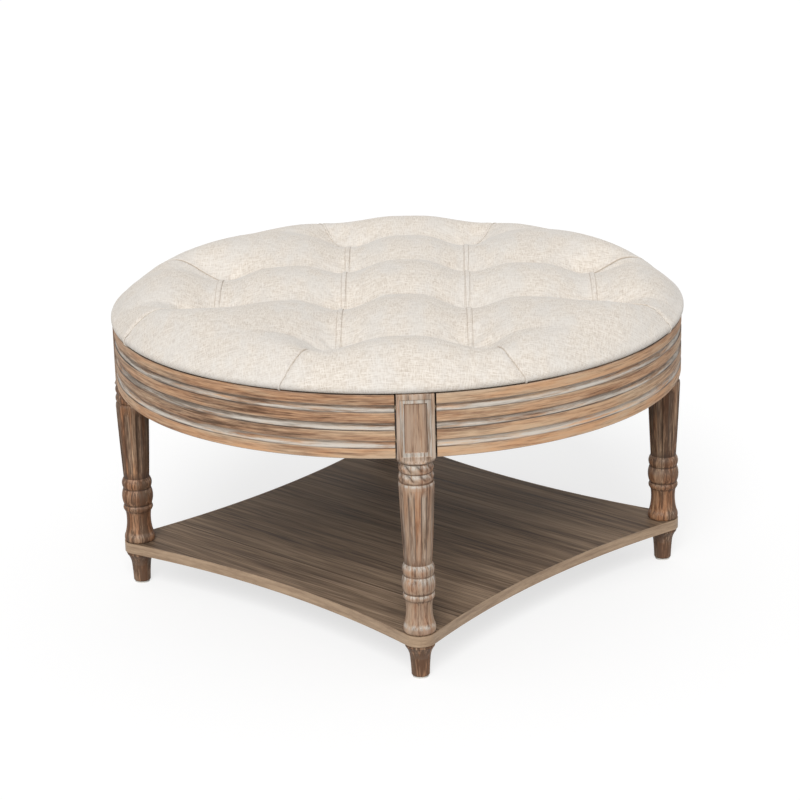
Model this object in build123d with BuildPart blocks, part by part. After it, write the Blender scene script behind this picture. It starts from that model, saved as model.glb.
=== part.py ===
from build123d import *
import os
from math import asin, cos, degrees, hypot, radians, sin, sqrt

# Round ottoman coffee table: a tufted seat on a fluted round apron, four turned
# and fluted legs, a concave-sided lower shelf and four turned feet.
# Millimetres, +Z up, origin on the floor under the middle of the seat.
# The legs stand on the diagonals: front (+X -Y), right (+X +Y), back (-X +Y), left (-X -Y).

# Driving heights, from the floor up
foot_height = 49.0
shelf_thickness = 14.75
shelf_clearance = 244.9
apron_height = 85.1
seat_thickness = 76.2

# Driving widths
seat_diameter = 800.0
apron_diameter = 794.0
shelf_diagonal = 800.0
leg_circle_diameter = 756.0

shelf_top = foot_height + shelf_thickness
apron_underside = shelf_top + shelf_clearance
apron_top = apron_underside + apron_height
seat_top = apron_top + seat_thickness
seat_radius = seat_diameter / 2
apron_radius = apron_diameter / 2
leg_circle_radius = leg_circle_diameter / 2

# Shared clearances: a glued joint, a bored hole round its fastener, soft parts, and cuts that run out
joint_gap = 0.4
bore_gap = 0.2
soft_gap = 0.3
overrun = 5.0

corner_angles = {"front": -45, "right": 45, "back": 135, "left": 225}
side_angles = {"front_left": -90, "front_right": 0, "back_right": 90, "back_left": 180}

os.makedirs("parts", exist_ok=True)


def write(piece, name):
    piece.part.label = name
    export_step(piece.part, f"parts/{name}.step")


def radial_plane(angle, middle=(0, 0)):
    """Upright plane through an upright axis: local x runs outward, local y runs up."""
    outward = (cos(radians(angle)), sin(radians(angle)), 0)
    return Plane((*middle, 0), x_dir=outward, z_dir=(outward[1], -outward[0], 0))


def turned(angle):
    """Location that turns a piece made on the +X side round the table's axis."""
    return Location((0, 0, 0), (0, 0, angle))


def outline(start, rows, scale_out, scale_up, base):
    """Right-hand outline of a turned piece: each row is a radius share, a height share and a swell share."""
    here = (start[0] * scale_out, base + start[1] * scale_up)
    for radius_share, height_share, swell_share in rows:
        there = (radius_share * scale_out, base + height_share * scale_up)
        if swell_share:
            run, rise = there[0] - here[0], there[1] - here[1]
            chord = hypot(run, rise)
            middle = (
                (here[0] + there[0]) / 2 + rise / chord * swell_share * scale_out,
                (here[1] + there[1]) / 2 - run / chord * swell_share * scale_out,
            )
            ThreePointArc(here, middle, there)
        else:
            Line(here, there)
        here = there
    return here


# Seat: a plywood board, a foam pad and a sewn cover that is drawn down at twelve tufts
crown_flat_radius = 200.0
crown_margin = 0.6
rim_roll_radius = 24.0
rim_roll_angle = 28
tuft_pitch = 174.0
tuft_depth = 42.0
tuft_grid_angle = 41.0
tuft_grid_shift = (9.5, 9.0)
inner_puff_drop = 12.0
outer_puff_drop = 18.0
puff_overlap = 32.0
pleat_depth = 6.0
pleat_width = 13.0
cover_thickness = 1.5
hem_inner_radius = 345.0
board_thickness = 12.0
edge_padding = 10.0
puff_radius = ((tuft_pitch**2) / 2 + tuft_depth**2) / (2 * tuft_depth)
puff_centre = seat_top - puff_radius
puff_reach = seat_radius + hypot(*tuft_grid_shift) + overrun
outer_tuft_radius = tuft_pitch * hypot(3, 1) / 2
dimple_reach = 60.0
dimple_rise = 27.0
pleat_start_gap = 12.0

rim_roll_reach = rim_roll_radius * (1 - sin(radians(rim_roll_angle)))
shoulder_radius = (seat_radius - crown_flat_radius - rim_roll_reach) / sin(radians(rim_roll_angle))
edge_top = seat_top + crown_margin
shoulder_centre = (crown_flat_radius, edge_top - shoulder_radius)
rim_centre = (
    seat_radius - rim_roll_radius,
    shoulder_centre[1] + (shoulder_radius - rim_roll_radius) * cos(radians(rim_roll_angle)),
)

board_underside = apron_top + cover_thickness
board_top = board_underside + board_thickness
board_radius = seat_radius - cover_thickness - edge_padding

grid_cells = [(0, 0), (1, 0), (0, 1), (-1, 0), (0, -1)]
tuft_half_steps = [(c, r) for c in (-3, -1, 1, 3) for r in (-3, -1, 1, 3) if abs(c) + abs(r) < 6]
tuft_points = [(c * tuft_pitch / 2, r * tuft_pitch / 2) for c, r in tuft_half_steps]


def grid_plane(turn, height):
    """Level plane over the middle of the tuft grid, with its x axis at an angle."""
    across = (cos(radians(turn)), sin(radians(turn)), 0)
    return Plane((*tuft_grid_shift, height), x_dir=across, z_dir=(0, 0, 1))


def seat_plane(height):
    """Level plane whose axes follow the rows and columns of tufts."""
    return grid_plane(tuft_grid_angle, height)


def rim_point(centre, radius, lean):
    """Point of an arc of the seat's edge at a lean from upright, in the radial plane."""
    return (centre[0] + radius * sin(radians(lean)), centre[1] + radius * cos(radians(lean)))


def rim_end_lean(radius, base):
    return 90 + degrees(asin((rim_centre[1] - base) / radius))


def make_puff(column, row, inset):
    """One square puff: the pad cut by a ball, so it sinks along its sides and most at its corners."""
    drop = inner_puff_drop if column or row else 0
    with BuildPart() as puff:
        with BuildSketch(seat_plane(apron_top)):
            with Locations((column * tuft_pitch, row * tuft_pitch)):
                Rectangle(tuft_pitch + puff_overlap, tuft_pitch + puff_overlap)
        extrude(amount=seat_thickness)
        middle = seat_plane(puff_centre - drop).from_local_coords((column * tuft_pitch, row * tuft_pitch, 0))
        with Locations(middle):
            Sphere(puff_radius - inset, mode=Mode.INTERSECT)
    return puff.part


def make_rim_puff(quarter, inset):
    """A puff between two rim pleats: the ball stands past the last row of tufts and runs out to the rim."""
    turn = tuft_grid_angle + quarter * 90
    inner = (tuft_pitch * 3 - puff_overlap) / 2
    with BuildPart() as puff:
        with BuildSketch(grid_plane(turn, apron_top)):
            with Locations(((inner + puff_reach) / 2, 0)):
                Rectangle(puff_reach - inner, tuft_pitch * 2)
        extrude(amount=seat_thickness)
        middle = grid_plane(turn, puff_centre - outer_puff_drop).from_local_coords((tuft_pitch * 2, 0, 0))
        with Locations(middle):
            Sphere(puff_radius - inset, mode=Mode.INTERSECT)
    return puff.part


def make_corner_puff(quarter, inset):
    """A puff between two rows of tufts: a round-nosed ridge that runs out to the rim."""
    turn = tuft_grid_angle + quarter * 90
    inner = (tuft_pitch - puff_overlap) / 2
    nose = tuft_pitch * sqrt(2)
    ball = puff_radius - inset
    centre = puff_centre - outer_puff_drop
    upright = radial_plane(turn + 45, tuft_grid_shift)
    with BuildPart() as puff:
        with BuildSketch(upright):
            with BuildLine():
                Polyline((nose - ball, centre), (puff_reach, centre), (puff_reach, centre + ball))
                Line((puff_reach, centre + ball), (nose, centre + ball))
                ThreePointArc(
                    (nose, centre + ball),
                    (nose - ball * sqrt(1 / 2), centre + ball * sqrt(1 / 2)),
                    (nose - ball, centre),
                )
            make_face()
        revolve(axis=Axis((*tuft_grid_shift, centre), upright.x_dir))
        with BuildSketch(grid_plane(turn, apron_top)):
            with Locations(((inner + puff_reach) / 2, (inner + puff_reach) / 2)):
                Rectangle(puff_reach - inner, puff_reach - inner)
        extrude(amount=seat_thickness, mode=Mode.INTERSECT)
    return puff.part


def make_pleat(inset):
    """Cutter for one crease over the rim, made on the +X side: a V run along the seat's edge."""
    shoulder, roll = shoulder_radius - inset, rim_roll_radius - inset
    start_lean = degrees(asin((outer_tuft_radius + pleat_start_gap - crown_flat_radius) / shoulder_radius))
    half_lean = (start_lean + rim_roll_angle) / 2
    end_lean = rim_end_lean(roll, apron_top - overrun)
    with BuildPart() as pleat:
        with BuildLine(radial_plane(0)) as run:
            ThreePointArc(
                rim_point(shoulder_centre, shoulder, start_lean),
                rim_point(shoulder_centre, shoulder, half_lean),
                rim_point(shoulder_centre, shoulder, rim_roll_angle),
            )
            ThreePointArc(
                rim_point(rim_centre, roll, rim_roll_angle),
                rim_point(rim_centre, roll, (rim_roll_angle + end_lean) / 2),
                rim_point(rim_centre, roll, end_lean),
            )
        path = run.wires()[0]
        with BuildSketch(Plane(path @ 0, x_dir=(0, 1, 0), z_dir=path % 0)):
            Polygon((0, -pleat_depth), (pleat_width, pleat_depth), (-pleat_width, pleat_depth), align=None)
        sweep(path=path)
    return pleat.part


def make_seat_form(inset, base):
    """The whole padded shape, drawn in by an inset all over and cut level at its base."""
    shoulder, roll = shoulder_radius - inset, rim_roll_radius - inset
    end_lean = rim_end_lean(roll, base)
    puffs = [make_puff(column, row, inset) for column, row in grid_cells]
    puffs += [make_rim_puff(quarter, inset) for quarter in range(4)]
    puffs += [make_corner_puff(quarter, inset) for quarter in range(4)]
    pleat = make_pleat(inset)
    dimple = outer_tuft_radius + inset
    tuft_floor = seat_top - outer_puff_drop - tuft_depth - inset
    ring_top = tuft_floor + dimple_rise

    with BuildPart() as crowns:
        add(puffs)
        with BuildSketch(radial_plane(0, tuft_grid_shift)):
            with BuildLine():
                Polyline(
                    (dimple, tuft_floor),
                    (dimple, apron_top),
                    (puff_reach, apron_top),
                    (puff_reach, ring_top),
                    (dimple + dimple_reach, ring_top),
                )
                TangentArc((dimple + dimple_reach, ring_top), (dimple, tuft_floor), tangent=(-1, 0))
            make_face()
        revolve(axis=Axis((*tuft_grid_shift, 0), (0, 0, 1)))

    with BuildPart() as form:
        with BuildSketch(Plane.XZ):
            with BuildLine():
                Line((0, base), (0, edge_top - inset))
                Line((0, edge_top - inset), (crown_flat_radius, edge_top - inset))
                ThreePointArc(
                    (crown_flat_radius, edge_top - inset),
                    rim_point(shoulder_centre, shoulder, rim_roll_angle / 2),
                    rim_point(shoulder_centre, shoulder, rim_roll_angle),
                )
                ThreePointArc(
                    rim_point(rim_centre, roll, rim_roll_angle),
                    rim_point(rim_centre, roll, (rim_roll_angle + end_lean) / 2),
                    rim_point(rim_centre, roll, end_lean),
                )
                Line(rim_point(rim_centre, roll, end_lean), (0, base))
            make_face()
        revolve(axis=Axis.Z)
        add(crowns.part, mode=Mode.INTERSECT)
        with Locations(turned(tuft_grid_angle)):
            with PolarLocations(0, 8, start_angle=360 / 16):
                add(pleat, mode=Mode.SUBTRACT)
    return form.part


# Staples hold the cover's hem and the dust cover up against the board
staple_crown = 10.0
staple_width = 1.2
staple_wire = 0.7
staple_leg = 6.0
staple_slot_gap = 0.1
hem_staple_radius = 361.0
hem_staples_per_side = 8
hem_staple_sweep = 60
dust_cover_radius = 325.0
dust_cover_thickness = 0.6
dust_staple_radius = 318.0
dust_staple_count = 36


def hem_staple_angles():
    step = hem_staple_sweep / (hem_staples_per_side - 1)
    first = -hem_staple_sweep / 2
    return [side + first + step * k for side in side_angles.values() for k in range(hem_staples_per_side)]


def dust_staple_angles():
    return [360 / dust_staple_count * (k + 1 / 2) for k in range(dust_staple_count)]


def staple_legs(radius, angles, gap):
    """Sketch of the legs of a ring of staples, two to a staple, at the foot of the open sketch."""
    for angle in angles:
        for side in (-1, 1):
            with Locations(Location((0, 0, 0), (0, 0, angle))):
                with Locations((radius, side * (staple_crown - staple_wire) / 2)):
                    Rectangle(staple_width + 2 * gap, staple_wire + 2 * gap)


def make_staples(radius, angles, face):
    """Staples driven up from a face: a crown below it and two legs in the board."""
    with BuildPart() as staples:
        with BuildSketch(Plane.XY.offset(face - staple_wire)):
            for angle in angles:
                with Locations(Location((0, 0, 0), (0, 0, angle))):
                    with Locations((radius, 0)):
                        Rectangle(staple_width, staple_crown)
        extrude(amount=staple_wire)
        with BuildSketch(Plane.XY.offset(face - staple_wire)):
            staple_legs(radius, angles, 0)
        extrude(amount=staple_wire + staple_leg)
    return staples


cover_outside = make_seat_form(0, apron_top)
cover_inside = make_seat_form(cover_thickness, board_underside)
foam_form = make_seat_form(cover_thickness + soft_gap, board_underside)

with BuildPart() as seat_cover:
    add(cover_outside)
    add(cover_inside, mode=Mode.SUBTRACT)
    with BuildSketch(Plane.XY.offset(apron_top)):
        Circle(hem_inner_radius)
    extrude(amount=cover_thickness, mode=Mode.SUBTRACT)
    with BuildSketch(Plane.XY.offset(apron_top)):
        staple_legs(hem_staple_radius, hem_staple_angles(), staple_slot_gap)
    extrude(amount=cover_thickness, mode=Mode.SUBTRACT)
write(seat_cover, "seat_cover")

# Each tuft is pulled down by a twine that runs through foam and board to a knot in a pocket below
tie_radius = 1.2
tie_hole_radius = 2.0
knot_radius = 5.0
knot_height = 3.0
knot_pocket_radius = 6.0
tie_top = seat_top - outer_puff_drop - tuft_depth - cover_thickness - soft_gap

with BuildPart() as seat_foam:
    add(foam_form)
    with BuildSketch(Plane.XY.offset(board_underside)):
        Circle(board_radius + soft_gap)
    extrude(amount=board_thickness, mode=Mode.SUBTRACT)
    with BuildSketch(seat_plane(board_top)):
        with Locations(tuft_points):
            Circle(tie_hole_radius)
    extrude(amount=seat_thickness, mode=Mode.SUBTRACT)
write(seat_foam, "seat_foam")

with BuildPart() as tuft_ties:
    with BuildSketch(seat_plane(board_underside)):
        with Locations(tuft_points):
            Circle(knot_radius)
    extrude(amount=knot_height)
    with BuildSketch(seat_plane(board_underside)):
        with Locations(tuft_points):
            Circle(tie_radius)
    extrude(amount=tie_top - board_underside)
write(tuft_ties, "tuft_ties")

dust_face = board_underside - dust_cover_thickness
cover_staples = make_staples(hem_staple_radius, hem_staple_angles(), apron_top)
write(cover_staples, "cover_staples")
dust_cover_staples = make_staples(dust_staple_radius, dust_staple_angles(), dust_face)
write(dust_cover_staples, "dust_cover_staples")

# Apron: four bent segments between the leg blocks, each with three flutes run round its face
apron_thickness = 22.0
flute_height = 10.2
flute_sink = 4.0
flute_count = 3
apron_edge_chamfer = 1.0
apron_inner_radius = apron_radius - apron_thickness
band_height = (apron_height - flute_count * flute_height) / (flute_count + 1)

# Leg: a square block that joins the apron, turned and fluted below it
block_width = 49.0
block_drop = 8.6
block_chamfer = 1.2
shoulder_rise = 9.0
shoulder_swell = 1.0
panel_side_margin = 4.8
panel_top_margin = 7.6
panel_foot_margin = 10.2
panel_step = 1.2
panel_border = 5.2
panel_sink = 3.2
turned_radius = 23.0
leg_flute_count = 8
leg_flute_sink = 2.2
leg_flute_foot_radius = 6.6
leg_flute_top_radius = 8.4
block_underside = apron_underside - block_drop
turned_height = block_underside - shelf_top
block_face = leg_circle_radius + block_width / 2
block_back = leg_circle_radius - block_width / 2

# The leg's turned outline from the shelf up: radius, height and swell as shares of its radius and height
leg_start_shares = (0.83, 0.0)
leg_shares = [
    (0.93, 0.012, 0.015),
    (0.87, 0.052, 0.035),
    (0.785, 0.166, -0.075),
    (0.86, 0.178, 0.0),
    (0.86, 0.212, 0.055),
    (0.85, 0.218, 0.0),
    (0.87, 0.222, 0.0),
    (0.87, 0.314, 0.09),
    (0.85, 0.320, 0.0),
    (0.80, 0.386, 0.10),
    (0.795, 0.392, 0.0),
    (1.0, 0.838, 0.012),
    (0.985, 0.868, 0.015),
    (0.915, 0.874, 0.0),
    (0.915, 0.928, 0.085),
    (0.915, 0.934, 0.0),
    (0.915, 0.990, 0.085),
    (0.93, 1.0, 0.0),
]
flute_foot_share = 0.43
flute_top_share = 0.80
flute_foot_radius_share = 0.815
flute_top_radius_share = 0.98

# Fasteners and joints behind each leg
dowel_radius = 4.0
dowel_length = 36.0
dowel_place = 384.0
dowel_inset = 21.0
bolt_radius = 4.0
bolt_bite = 27.0
bolt_tail = 6.0
bolt_drop = 16.0
nut_across = 13.0
nut_height = 6.5
washer_radius = 9.0
washer_thickness = 1.6
foot_screw_radius = 4.0
foot_screw_bite = 28.0
brace_height = 30.0
brace_depth = 31.5
brace_half_width = 72.0
seat_screw_offset = 40.0
seat_screw_setback = 19.5
brace_screw_offset = 56.0
brace_screw_sink = 20.0
screw_radius = 2.2
screw_bite = 9.5
screw_head_radius = 4.4
screw_head_height = 2.6
sink_radius = 5.6

bolt_height = apron_top - bolt_drop
dowel_heights = (apron_underside + dowel_inset, apron_top - dowel_inset)
brace_underside = apron_top - brace_height
brace_face = block_back - brace_depth
seat_screw_place = block_back - seat_screw_setback
brace_screw_height = apron_top - brace_height / 2
brace_screw_reach = sqrt(apron_inner_radius**2 - brace_screw_offset**2)

# Crossed rails under the board, lapped in the middle and housed in the apron
rail_width = 20.0
rail_height = 45.0
housing_depth = 7.0
rail_underside = apron_top - rail_height
rail_reach = apron_inner_radius + housing_depth - bore_gap


def bore(plane, radius, depth):
    """Round hole from a plane, against its normal."""
    with BuildSketch(plane, mode=Mode.PRIVATE) as hole:
        Circle(radius)
    extrude(hole.sketch, amount=-depth, mode=Mode.SUBTRACT)


with BuildPart() as seat_board:
    with BuildSketch(Plane.XY.offset(board_underside)):
        Circle(board_radius)
    extrude(amount=board_thickness)
    with BuildSketch(seat_plane(board_underside)):
        with Locations(tuft_points):
            Circle(tie_hole_radius)
    extrude(amount=board_thickness, mode=Mode.SUBTRACT)
    with BuildSketch(seat_plane(board_underside)):
        with Locations(tuft_points):
            Circle(knot_pocket_radius)
    extrude(amount=knot_height + bore_gap, mode=Mode.SUBTRACT)
    with BuildSketch(Plane.XY.offset(board_underside)):
        staple_legs(hem_staple_radius, hem_staple_angles(), staple_slot_gap)
    extrude(amount=staple_leg - cover_thickness + staple_slot_gap, mode=Mode.SUBTRACT)
    with BuildSketch(Plane.XY.offset(board_underside)):
        staple_legs(dust_staple_radius, dust_staple_angles(), staple_slot_gap)
    extrude(amount=staple_leg - dust_cover_thickness + staple_slot_gap, mode=Mode.SUBTRACT)
    with BuildSketch(Plane.XY.offset(board_underside)):
        for angle in corner_angles.values():
            with Locations(turned(angle)):
                with Locations((seat_screw_place, seat_screw_offset), (seat_screw_place, -seat_screw_offset)):
                    Circle(screw_radius + bore_gap)
    extrude(amount=screw_bite + bore_gap, mode=Mode.SUBTRACT)
write(seat_board, "seat_board")

with BuildPart() as dust_cover:
    with BuildSketch(Plane.XY.offset(dust_face)):
        Circle(dust_cover_radius)
    extrude(amount=dust_cover_thickness)
    with BuildSketch(Plane.XY.offset(dust_face)):
        staple_legs(dust_staple_radius, dust_staple_angles(), staple_slot_gap)
    extrude(amount=dust_cover_thickness, mode=Mode.SUBTRACT)
write(dust_cover, "dust_cover")

def height_of_flute(k):
    return apron_underside + band_height * (k + 1) + flute_height * k


with BuildPart() as apron_segment:
    with BuildSketch(radial_plane(-45)):
        corner = apron_edge_chamfer
        with BuildLine():
            Polyline(
                (apron_radius - corner, apron_top),
                (apron_inner_radius, apron_top),
                (apron_inner_radius, apron_underside),
                (apron_radius - corner, apron_underside),
                (apron_radius, apron_underside + corner),
            )
            height = apron_underside + corner
            for k in range(flute_count):
                foot = height_of_flute(k)
                head = foot + flute_height
                bottom = (apron_radius - flute_sink, (foot + head) / 2)
                Line((apron_radius, height), (apron_radius, foot))
                ThreePointArc((apron_radius, foot), bottom, (apron_radius, head))
                height = head
            Line((apron_radius, height), (apron_radius, apron_top - corner))
            Line((apron_radius, apron_top - corner), (apron_radius - corner, apron_top))
        make_face()
    revolve(axis=Axis.Z, revolution_arc=90)
    for end, side in ((-45, 1), (45, -1)):
        out = Vector(cos(radians(end)), sin(radians(end)), 0)
        along = Vector(-out.Y, out.X, 0) * side
        with BuildSketch(Plane((0, 0, apron_underside), x_dir=out, z_dir=(0, 0, 1))):
            with Locations((leg_circle_radius, 0)):
                Rectangle(block_width + 2 * joint_gap, block_width + 2 * joint_gap)
        extrude(amount=apron_height, mode=Mode.SUBTRACT)
        for height in dowel_heights:
            seat = out * dowel_place + along * (block_width / 2) + Vector(0, 0, height)
            bore(Plane(seat, z_dir=-along), dowel_radius + bore_gap, dowel_length / 2 + bore_gap)
        inward = brace_screw_reach - overrun
        start = out * inward + along * brace_screw_offset + Vector(0, 0, brace_screw_height)
        bore(Plane(start, z_dir=-out), screw_radius + bore_gap, overrun + screw_bite + bore_gap)
    with BuildSketch(Plane.XY.offset(rail_underside - bore_gap)):
        with Locations((apron_inner_radius, 0)):
            Rectangle(2 * housing_depth, rail_width + 2 * bore_gap)
    extrude(amount=rail_height + bore_gap, mode=Mode.SUBTRACT)

for name, angle in side_angles.items():
    with BuildPart() as apron:
        with Locations(turned(angle)):
            add(apron_segment.part)
    write(apron, f"apron_{name}")

with BuildPart() as leg_flute:
    foot_out = flute_foot_radius_share * turned_radius - leg_flute_sink + leg_flute_foot_radius
    top_out = flute_top_radius_share * turned_radius - leg_flute_sink + leg_flute_top_radius
    foot_end = Vector(foot_out, 0, shelf_top + flute_foot_share * turned_height)
    top_end = Vector(top_out, 0, shelf_top + flute_top_share * turned_height)
    rise = (top_end - foot_end).normalized()
    length = (top_end - foot_end).length
    with BuildSketch(Plane(foot_end, x_dir=(0, 1, 0), z_dir=(rise.Z, 0, -rise.X))):
        with BuildLine():
            Line((0, length + leg_flute_top_radius), (0, -leg_flute_foot_radius))
            ThreePointArc(
                (0, -leg_flute_foot_radius),
                (leg_flute_foot_radius * sqrt(1 / 2), -leg_flute_foot_radius * sqrt(1 / 2)),
                (leg_flute_foot_radius, 0),
            )
            Line((leg_flute_foot_radius, 0), (leg_flute_top_radius, length))
            ThreePointArc(
                (leg_flute_top_radius, length),
                (leg_flute_top_radius * sqrt(1 / 2), length + leg_flute_top_radius * sqrt(1 / 2)),
                (0, length + leg_flute_top_radius),
            )
        make_face()
    revolve(axis=Axis(foot_end, rise))

leg_side_plane = Plane((leg_circle_radius, 0, 0), x_dir=(1, 0, 0), z_dir=(0, -1, 0))
leg_axis = Axis((leg_circle_radius, 0, 0), (0, 0, 1))
panel_height = apron_top - block_underside - panel_top_margin - panel_foot_margin
panel_width = block_width - 2 * panel_side_margin
panel_plane = Plane(
    (block_face, 0, block_underside + panel_foot_margin + panel_height / 2), x_dir=(0, 1, 0), z_dir=(1, 0, 0)
)

with BuildPart() as corner_leg:
    with BuildSketch(Plane.XY.offset(block_underside)):
        with Locations((leg_circle_radius, 0)):
            Rectangle(block_width, block_width)
    extrude(amount=apron_top - block_underside)
    chamfer(corner_leg.edges().filter_by(Axis.Z), block_chamfer)
    with BuildSketch(leg_side_plane):
        with BuildLine():
            rim = block_width * sqrt(1 / 2)
            Line((turned_radius, block_underside), (turned_radius, block_underside - overrun))
            Line((turned_radius, block_underside - overrun), (rim, block_underside - overrun))
            Line((rim, block_underside - overrun), (rim, block_underside + shoulder_rise))
            halfway = ((rim + turned_radius) / 2, block_underside + shoulder_rise / 2)
            ThreePointArc(
                (rim, block_underside + shoulder_rise),
                (halfway[0] + shoulder_swell, halfway[1] - shoulder_swell),
                (turned_radius, block_underside),
            )
        make_face()
    revolve(axis=leg_axis, mode=Mode.SUBTRACT)
    with BuildSketch(leg_side_plane):
        with BuildLine():
            start = (leg_start_shares[0] * turned_radius, shelf_top)
            Line((0, shelf_top), start)
            end = outline(leg_start_shares, leg_shares, turned_radius, turned_height, shelf_top)
            Line(end, (0, block_underside))
            Line((0, block_underside), (0, shelf_top))
        make_face()
    revolve(axis=leg_axis)
    with Locations((leg_circle_radius, 0, 0)):
        with PolarLocations(0, leg_flute_count, start_angle=180 / leg_flute_count):
            add(leg_flute.part, mode=Mode.SUBTRACT)
    with BuildSketch(panel_plane):
        Rectangle(panel_width, panel_height)
    extrude(amount=-panel_step, mode=Mode.SUBTRACT)
    with BuildSketch(panel_plane):
        Rectangle(panel_width - 2 * panel_border, panel_height - 2 * panel_border)
    extrude(amount=-panel_sink, mode=Mode.SUBTRACT)
    for side in (-1, 1):
        for height in dowel_heights:
            seat = Plane((dowel_place, side * block_width / 2, height), z_dir=(0, side, 0))
            bore(seat, dowel_radius + bore_gap, dowel_length / 2 + bore_gap)
    bolt_seat = Plane((block_back, 0, bolt_height), z_dir=(-1, 0, 0))
    bore(bolt_seat, bolt_radius + bore_gap, bolt_bite + bore_gap)
    foot_screw_seat = Plane((leg_circle_radius, 0, shelf_top), z_dir=(0, 0, -1))
    bore(foot_screw_seat, foot_screw_radius + bore_gap, foot_screw_bite + bore_gap)

for name, angle in corner_angles.items():
    with BuildPart() as leg:
        with Locations(turned(angle)):
            add(corner_leg.part)
    write(leg, f"leg_{name}")

with BuildPart() as corner_dowels:
    for side in (-1, 1):
        for height in dowel_heights:
            with BuildSketch(Plane((dowel_place, side * block_width / 2, height), z_dir=(0, side, 0))):
                Circle(dowel_radius)
            extrude(amount=dowel_length / 2, both=True)

with BuildPart() as apron_dowels:
    for angle in corner_angles.values():
        with Locations(turned(angle)):
            add(corner_dowels.part)
write(apron_dowels, "apron_dowels")

with BuildPart() as brace_block:
    with BuildSketch(Plane.XY.offset(brace_underside)):
        Circle(apron_inner_radius - joint_gap)
        with Locations((brace_face + apron_inner_radius / 2, 0)):
            Rectangle(apron_inner_radius, 2 * brace_half_width, mode=Mode.INTERSECT)
        with Locations((block_back + block_width / 2, 0)):
            Rectangle(block_width, block_width + 2 * joint_gap, mode=Mode.SUBTRACT)
    extrude(amount=brace_height)
    bore(Plane((brace_face, 0, bolt_height), z_dir=(-1, 0, 0)), bolt_radius + bore_gap, brace_depth)
    for side in (-1, 1):
        entry = Plane((seat_screw_place, side * seat_screw_offset, brace_underside), z_dir=(0, 0, -1))
        bore(entry, screw_radius + bore_gap, brace_height)
        bore(entry, screw_head_radius + bore_gap, screw_head_height)
        entry = Plane((brace_face, side * brace_screw_offset, brace_screw_height), z_dir=(-1, 0, 0))
        bore(entry, screw_radius + bore_gap, apron_inner_radius - brace_face)
        bore(entry, sink_radius, brace_screw_sink)

for name, angle in corner_angles.items():
    with BuildPart() as brace:
        with Locations(turned(angle)):
            add(brace_block.part)
    write(brace, f"corner_brace_{name}")


def make_screws(seats, length):
    """Countersunk screws at each corner: a seat lies at the head's outer face and faces the tip."""
    with BuildPart() as one_corner:
        with Locations(*seats):
            Cone(
                screw_head_radius,
                screw_radius,
                screw_head_height,
                align=(Align.CENTER, Align.CENTER, Align.MIN),
            )
            Cylinder(screw_radius, length, align=(Align.CENTER, Align.CENTER, Align.MIN))
    with BuildPart() as screws:
        for angle in corner_angles.values():
            with Locations(turned(angle)):
                add(one_corner.part)
    return screws


seat_screw_length = brace_height + cover_thickness + screw_bite
seat_screw_seats = [Plane((seat_screw_place, side * seat_screw_offset, brace_underside)) for side in (-1, 1)]
seat_screws = make_screws(seat_screw_seats, seat_screw_length)
write(seat_screws, "seat_screws")

brace_screw_head = brace_face + brace_screw_sink - screw_head_height
brace_screw_seats = [
    Plane((brace_screw_head, side * brace_screw_offset, brace_screw_height), z_dir=(1, 0, 0))
    for side in (-1, 1)
]
brace_screws = make_screws(brace_screw_seats, brace_screw_reach + screw_bite - brace_screw_head)
write(brace_screws, "brace_screws")

bolt_head = brace_face - washer_thickness - nut_height - bolt_tail
with BuildPart() as leg_bolts:
    for angle in corner_angles.values():
        out = Vector(cos(radians(angle)), sin(radians(angle)), 0)
        with BuildSketch(Plane(out * bolt_head + Vector(0, 0, bolt_height), z_dir=out)):
            Circle(bolt_radius)
        extrude(amount=block_back + bolt_bite - bolt_head)
write(leg_bolts, "leg_bolts")

with BuildPart() as leg_washers:
    for angle in corner_angles.values():
        out = Vector(cos(radians(angle)), sin(radians(angle)), 0)
        with BuildSketch(Plane(out * brace_face + Vector(0, 0, bolt_height), z_dir=-out)):
            Circle(washer_radius)
            Circle(bolt_radius + bore_gap, mode=Mode.SUBTRACT)
        extrude(amount=washer_thickness)
write(leg_washers, "leg_washers")

with BuildPart() as leg_nuts:
    for angle in corner_angles.values():
        out = Vector(cos(radians(angle)), sin(radians(angle)), 0)
        nut_seat = out * (brace_face - washer_thickness) + Vector(0, 0, bolt_height)
        with BuildSketch(Plane(nut_seat, z_dir=-out)):
            RegularPolygon(nut_across / 2, 6, major_radius=False)
            Circle(bolt_radius + bore_gap, mode=Mode.SUBTRACT)
        extrude(amount=nut_height)
write(leg_nuts, "leg_nuts")


def make_rail(across, notch_base):
    """A support rail along one axis with half its height cut away where the other crosses it."""
    with BuildPart() as rail:
        with BuildSketch(Plane((0, 0, rail_underside), x_dir=across, z_dir=(0, 0, 1))):
            Rectangle(2 * rail_reach, rail_width)
        extrude(amount=rail_height)
        with BuildSketch(Plane((0, 0, notch_base), x_dir=across, z_dir=(0, 0, 1))):
            Rectangle(rail_width + 2 * bore_gap, rail_width)
        extrude(amount=rail_height / 2, mode=Mode.SUBTRACT)
    return rail


write(make_rail((1, 0, 0), rail_underside + rail_height / 2), "support_rail_lower")
write(make_rail((0, 1, 0), rail_underside), "support_rail_upper")

# Shelf: three boards and a thin edge band bent round the concave sides and the tips
shelf_waist = 262.4
band_thickness = 1.0
band_gap = 0.1
shelf_joint_place = 189.0
shelf_joint_gap = 0.3
shelf_dowel_radius = 3.0
shelf_dowel_length = 40.0
shelf_dowel_pitch = 190.0
leg_place = leg_circle_radius * sqrt(1 / 2)
tip_radius = shelf_diagonal / 2 - leg_circle_radius
waist_inset = shelf_waist - leg_place
side_radius = (leg_place**2 + waist_inset**2 - tip_radius**2) / (2 * (tip_radius - waist_inset))
side_centre = shelf_waist + side_radius


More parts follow.
